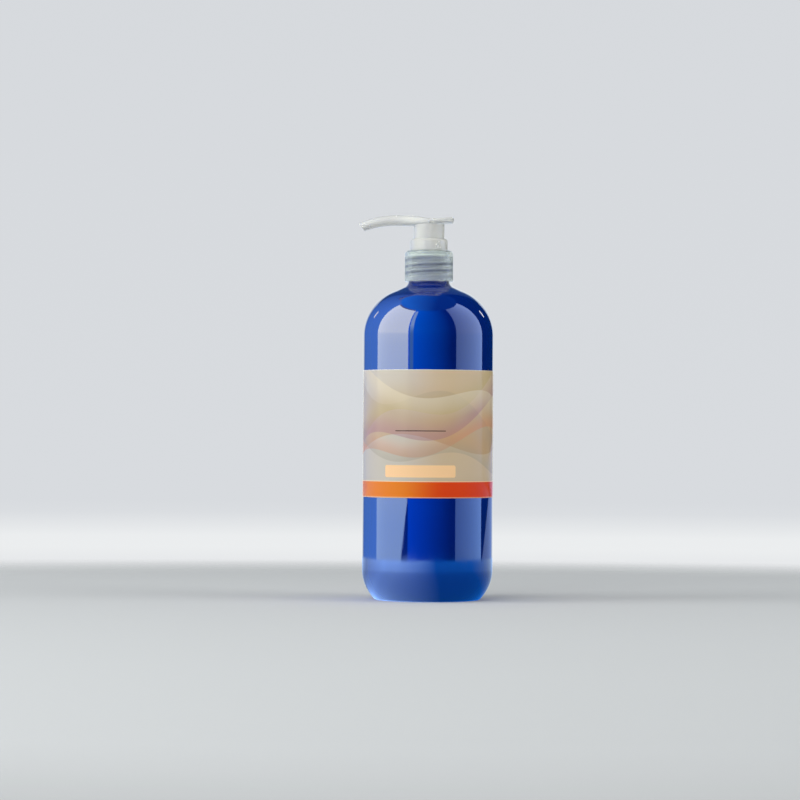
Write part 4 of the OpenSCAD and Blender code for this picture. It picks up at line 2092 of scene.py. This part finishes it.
    def card_finish(self, card: Card) -> bpy.types.Material:
        """The light of a card: its colour and brightness by height, times its sides'.

        Args:
            card: Its brightness and colour.

        Returns:
            A new material with its nodes.
        """
        material, tree = new_tree(card.name)
        place = add_node(tree, "TexCoord").outputs["Object"]
        height = add_node(tree, "SeparateXYZ", {0: place}).outputs["Z"]
        inputs = {"Value": height, "From Min": card.fade[0], "From Max": card.fade[1]}
        rise = add_node(tree, "MapRange", inputs).outputs[0]
        wrap = add_node(tree, "UVMap", uv_map="wrap").outputs[0]
        across = add_node(tree, "SeparateXYZ", {0: wrap}).outputs["X"]
        inputs = {"Value": rise, "To Min": card.dim, "To Max": card.strength}
        full = add_node(tree, "MapRange", inputs)
        inputs = {"Value": across, "To Min": card.sides[0], "To Max": card.sides[1]}
        kept = add_node(tree, "MapRange", inputs)
        inputs = {0: full.outputs[0], 1: kept.outputs[0]}
        power = add_node(tree, "Math", inputs, operation="MULTIPLY")
        foot = linear(card.foot or card.colour)
        inputs = {"Factor": rise, 6: foot, 7: linear(card.colour)}
        shade = add_node(tree, "Mix", inputs, data_type="RGBA")
        glow = add_node(tree, "Emission", {0: shade.outputs[2], 1: power.outputs[0]})
        add_node(tree, "OutputMaterial", {"Surface": glow.outputs[0]})
        return material

    def build_ceiling(self) -> None:
        """Makes the ceiling over the cards, a level disc that only gloss shows, lit from
        the left and dark on the right.
        """
        material, tree = new_tree("ceiling")
        place = add_node(tree, "TexCoord").outputs["Object"]
        inputs = {
            "Value": add_node(tree, "SeparateXYZ", {0: place}).outputs["X"],
            "From Min": self.ceiling_across[0],
            "From Max": self.ceiling_across[1],
            "To Min": self.ceiling_strength[0],
            "To Max": self.ceiling_strength[1],
        }
        power = add_node(tree, "MapRange", inputs)
        inputs = {0: linear(self.ceiling_colour), 1: power.outputs[0]}
        glow = add_node(tree, "Emission", inputs)
        add_node(tree, "OutputMaterial", {"Surface": glow.outputs[0]})
        radius = self.cards[0].radius * self.ceiling_reach / MM
        r = np.array([self.ceiling_hole, 1.0])[:, None] * radius
        a = 2 * math.pi * np.arange(self.ceiling_sides + 1)[None] / self.ceiling_sides
        points = turned(r, a, self.ceiling_height / MM)
        only_reflected(self.hang("ceiling", points, material))

    def build_lamp(self, lamp: Lamp) -> None:
        """Makes one soft lamp, aimed at the object.

        Args:
            lamp: Its direction, size and power.
        """
        data = bpy.data.lights.new(lamp.name, "AREA")
        data.shape, data.size, data.energy = "SQUARE", lamp.size, lamp.power
        item = link_object(lamp.name, data)
        a, e = math.radians(lamp.azimuth), math.radians(lamp.elevation)
        out = Vector((math.sin(a) * math.cos(e), -math.cos(a) * math.cos(e), math.sin(e)))
        item.location = Vector(self.target) + out * self.lamp_distance
        item.rotation_euler = out.to_track_quat("Z", "Y").to_euler()
        item.visible_glossy = False

    def build_camera(self) -> None:
        """Makes the camera, level with the bottle's middle and tipped up a little."""
        data = bpy.data.cameras.new("camera")
        data.lens, data.sensor_width = self.lens, self.sensor
        data.clip_start, data.clip_end = self.clip
        item = link_object("camera", data)
        tip = Matrix.Rotation(math.radians(90 + self.pitch), 4, "X")
        roll = Matrix.Rotation(math.radians(self.roll), 4, "Z")
        item.matrix_world = Matrix.Translation(self.eye) @ tip @ roll
        bpy.context.scene.camera = item


def main() -> None:
    """Builds the studio and every sub-assembly."""
    logging.basicConfig(level=logging.INFO, format="%(name)s: %(message)s")
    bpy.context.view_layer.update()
    Studio().build()
    bottle = Bottle()
    bottle.build()
    Closure().build(bottle.thread)
    PumpBody().build()
    Plunger().build()
    Head().build()


if __name__ == "__main__":
    main()
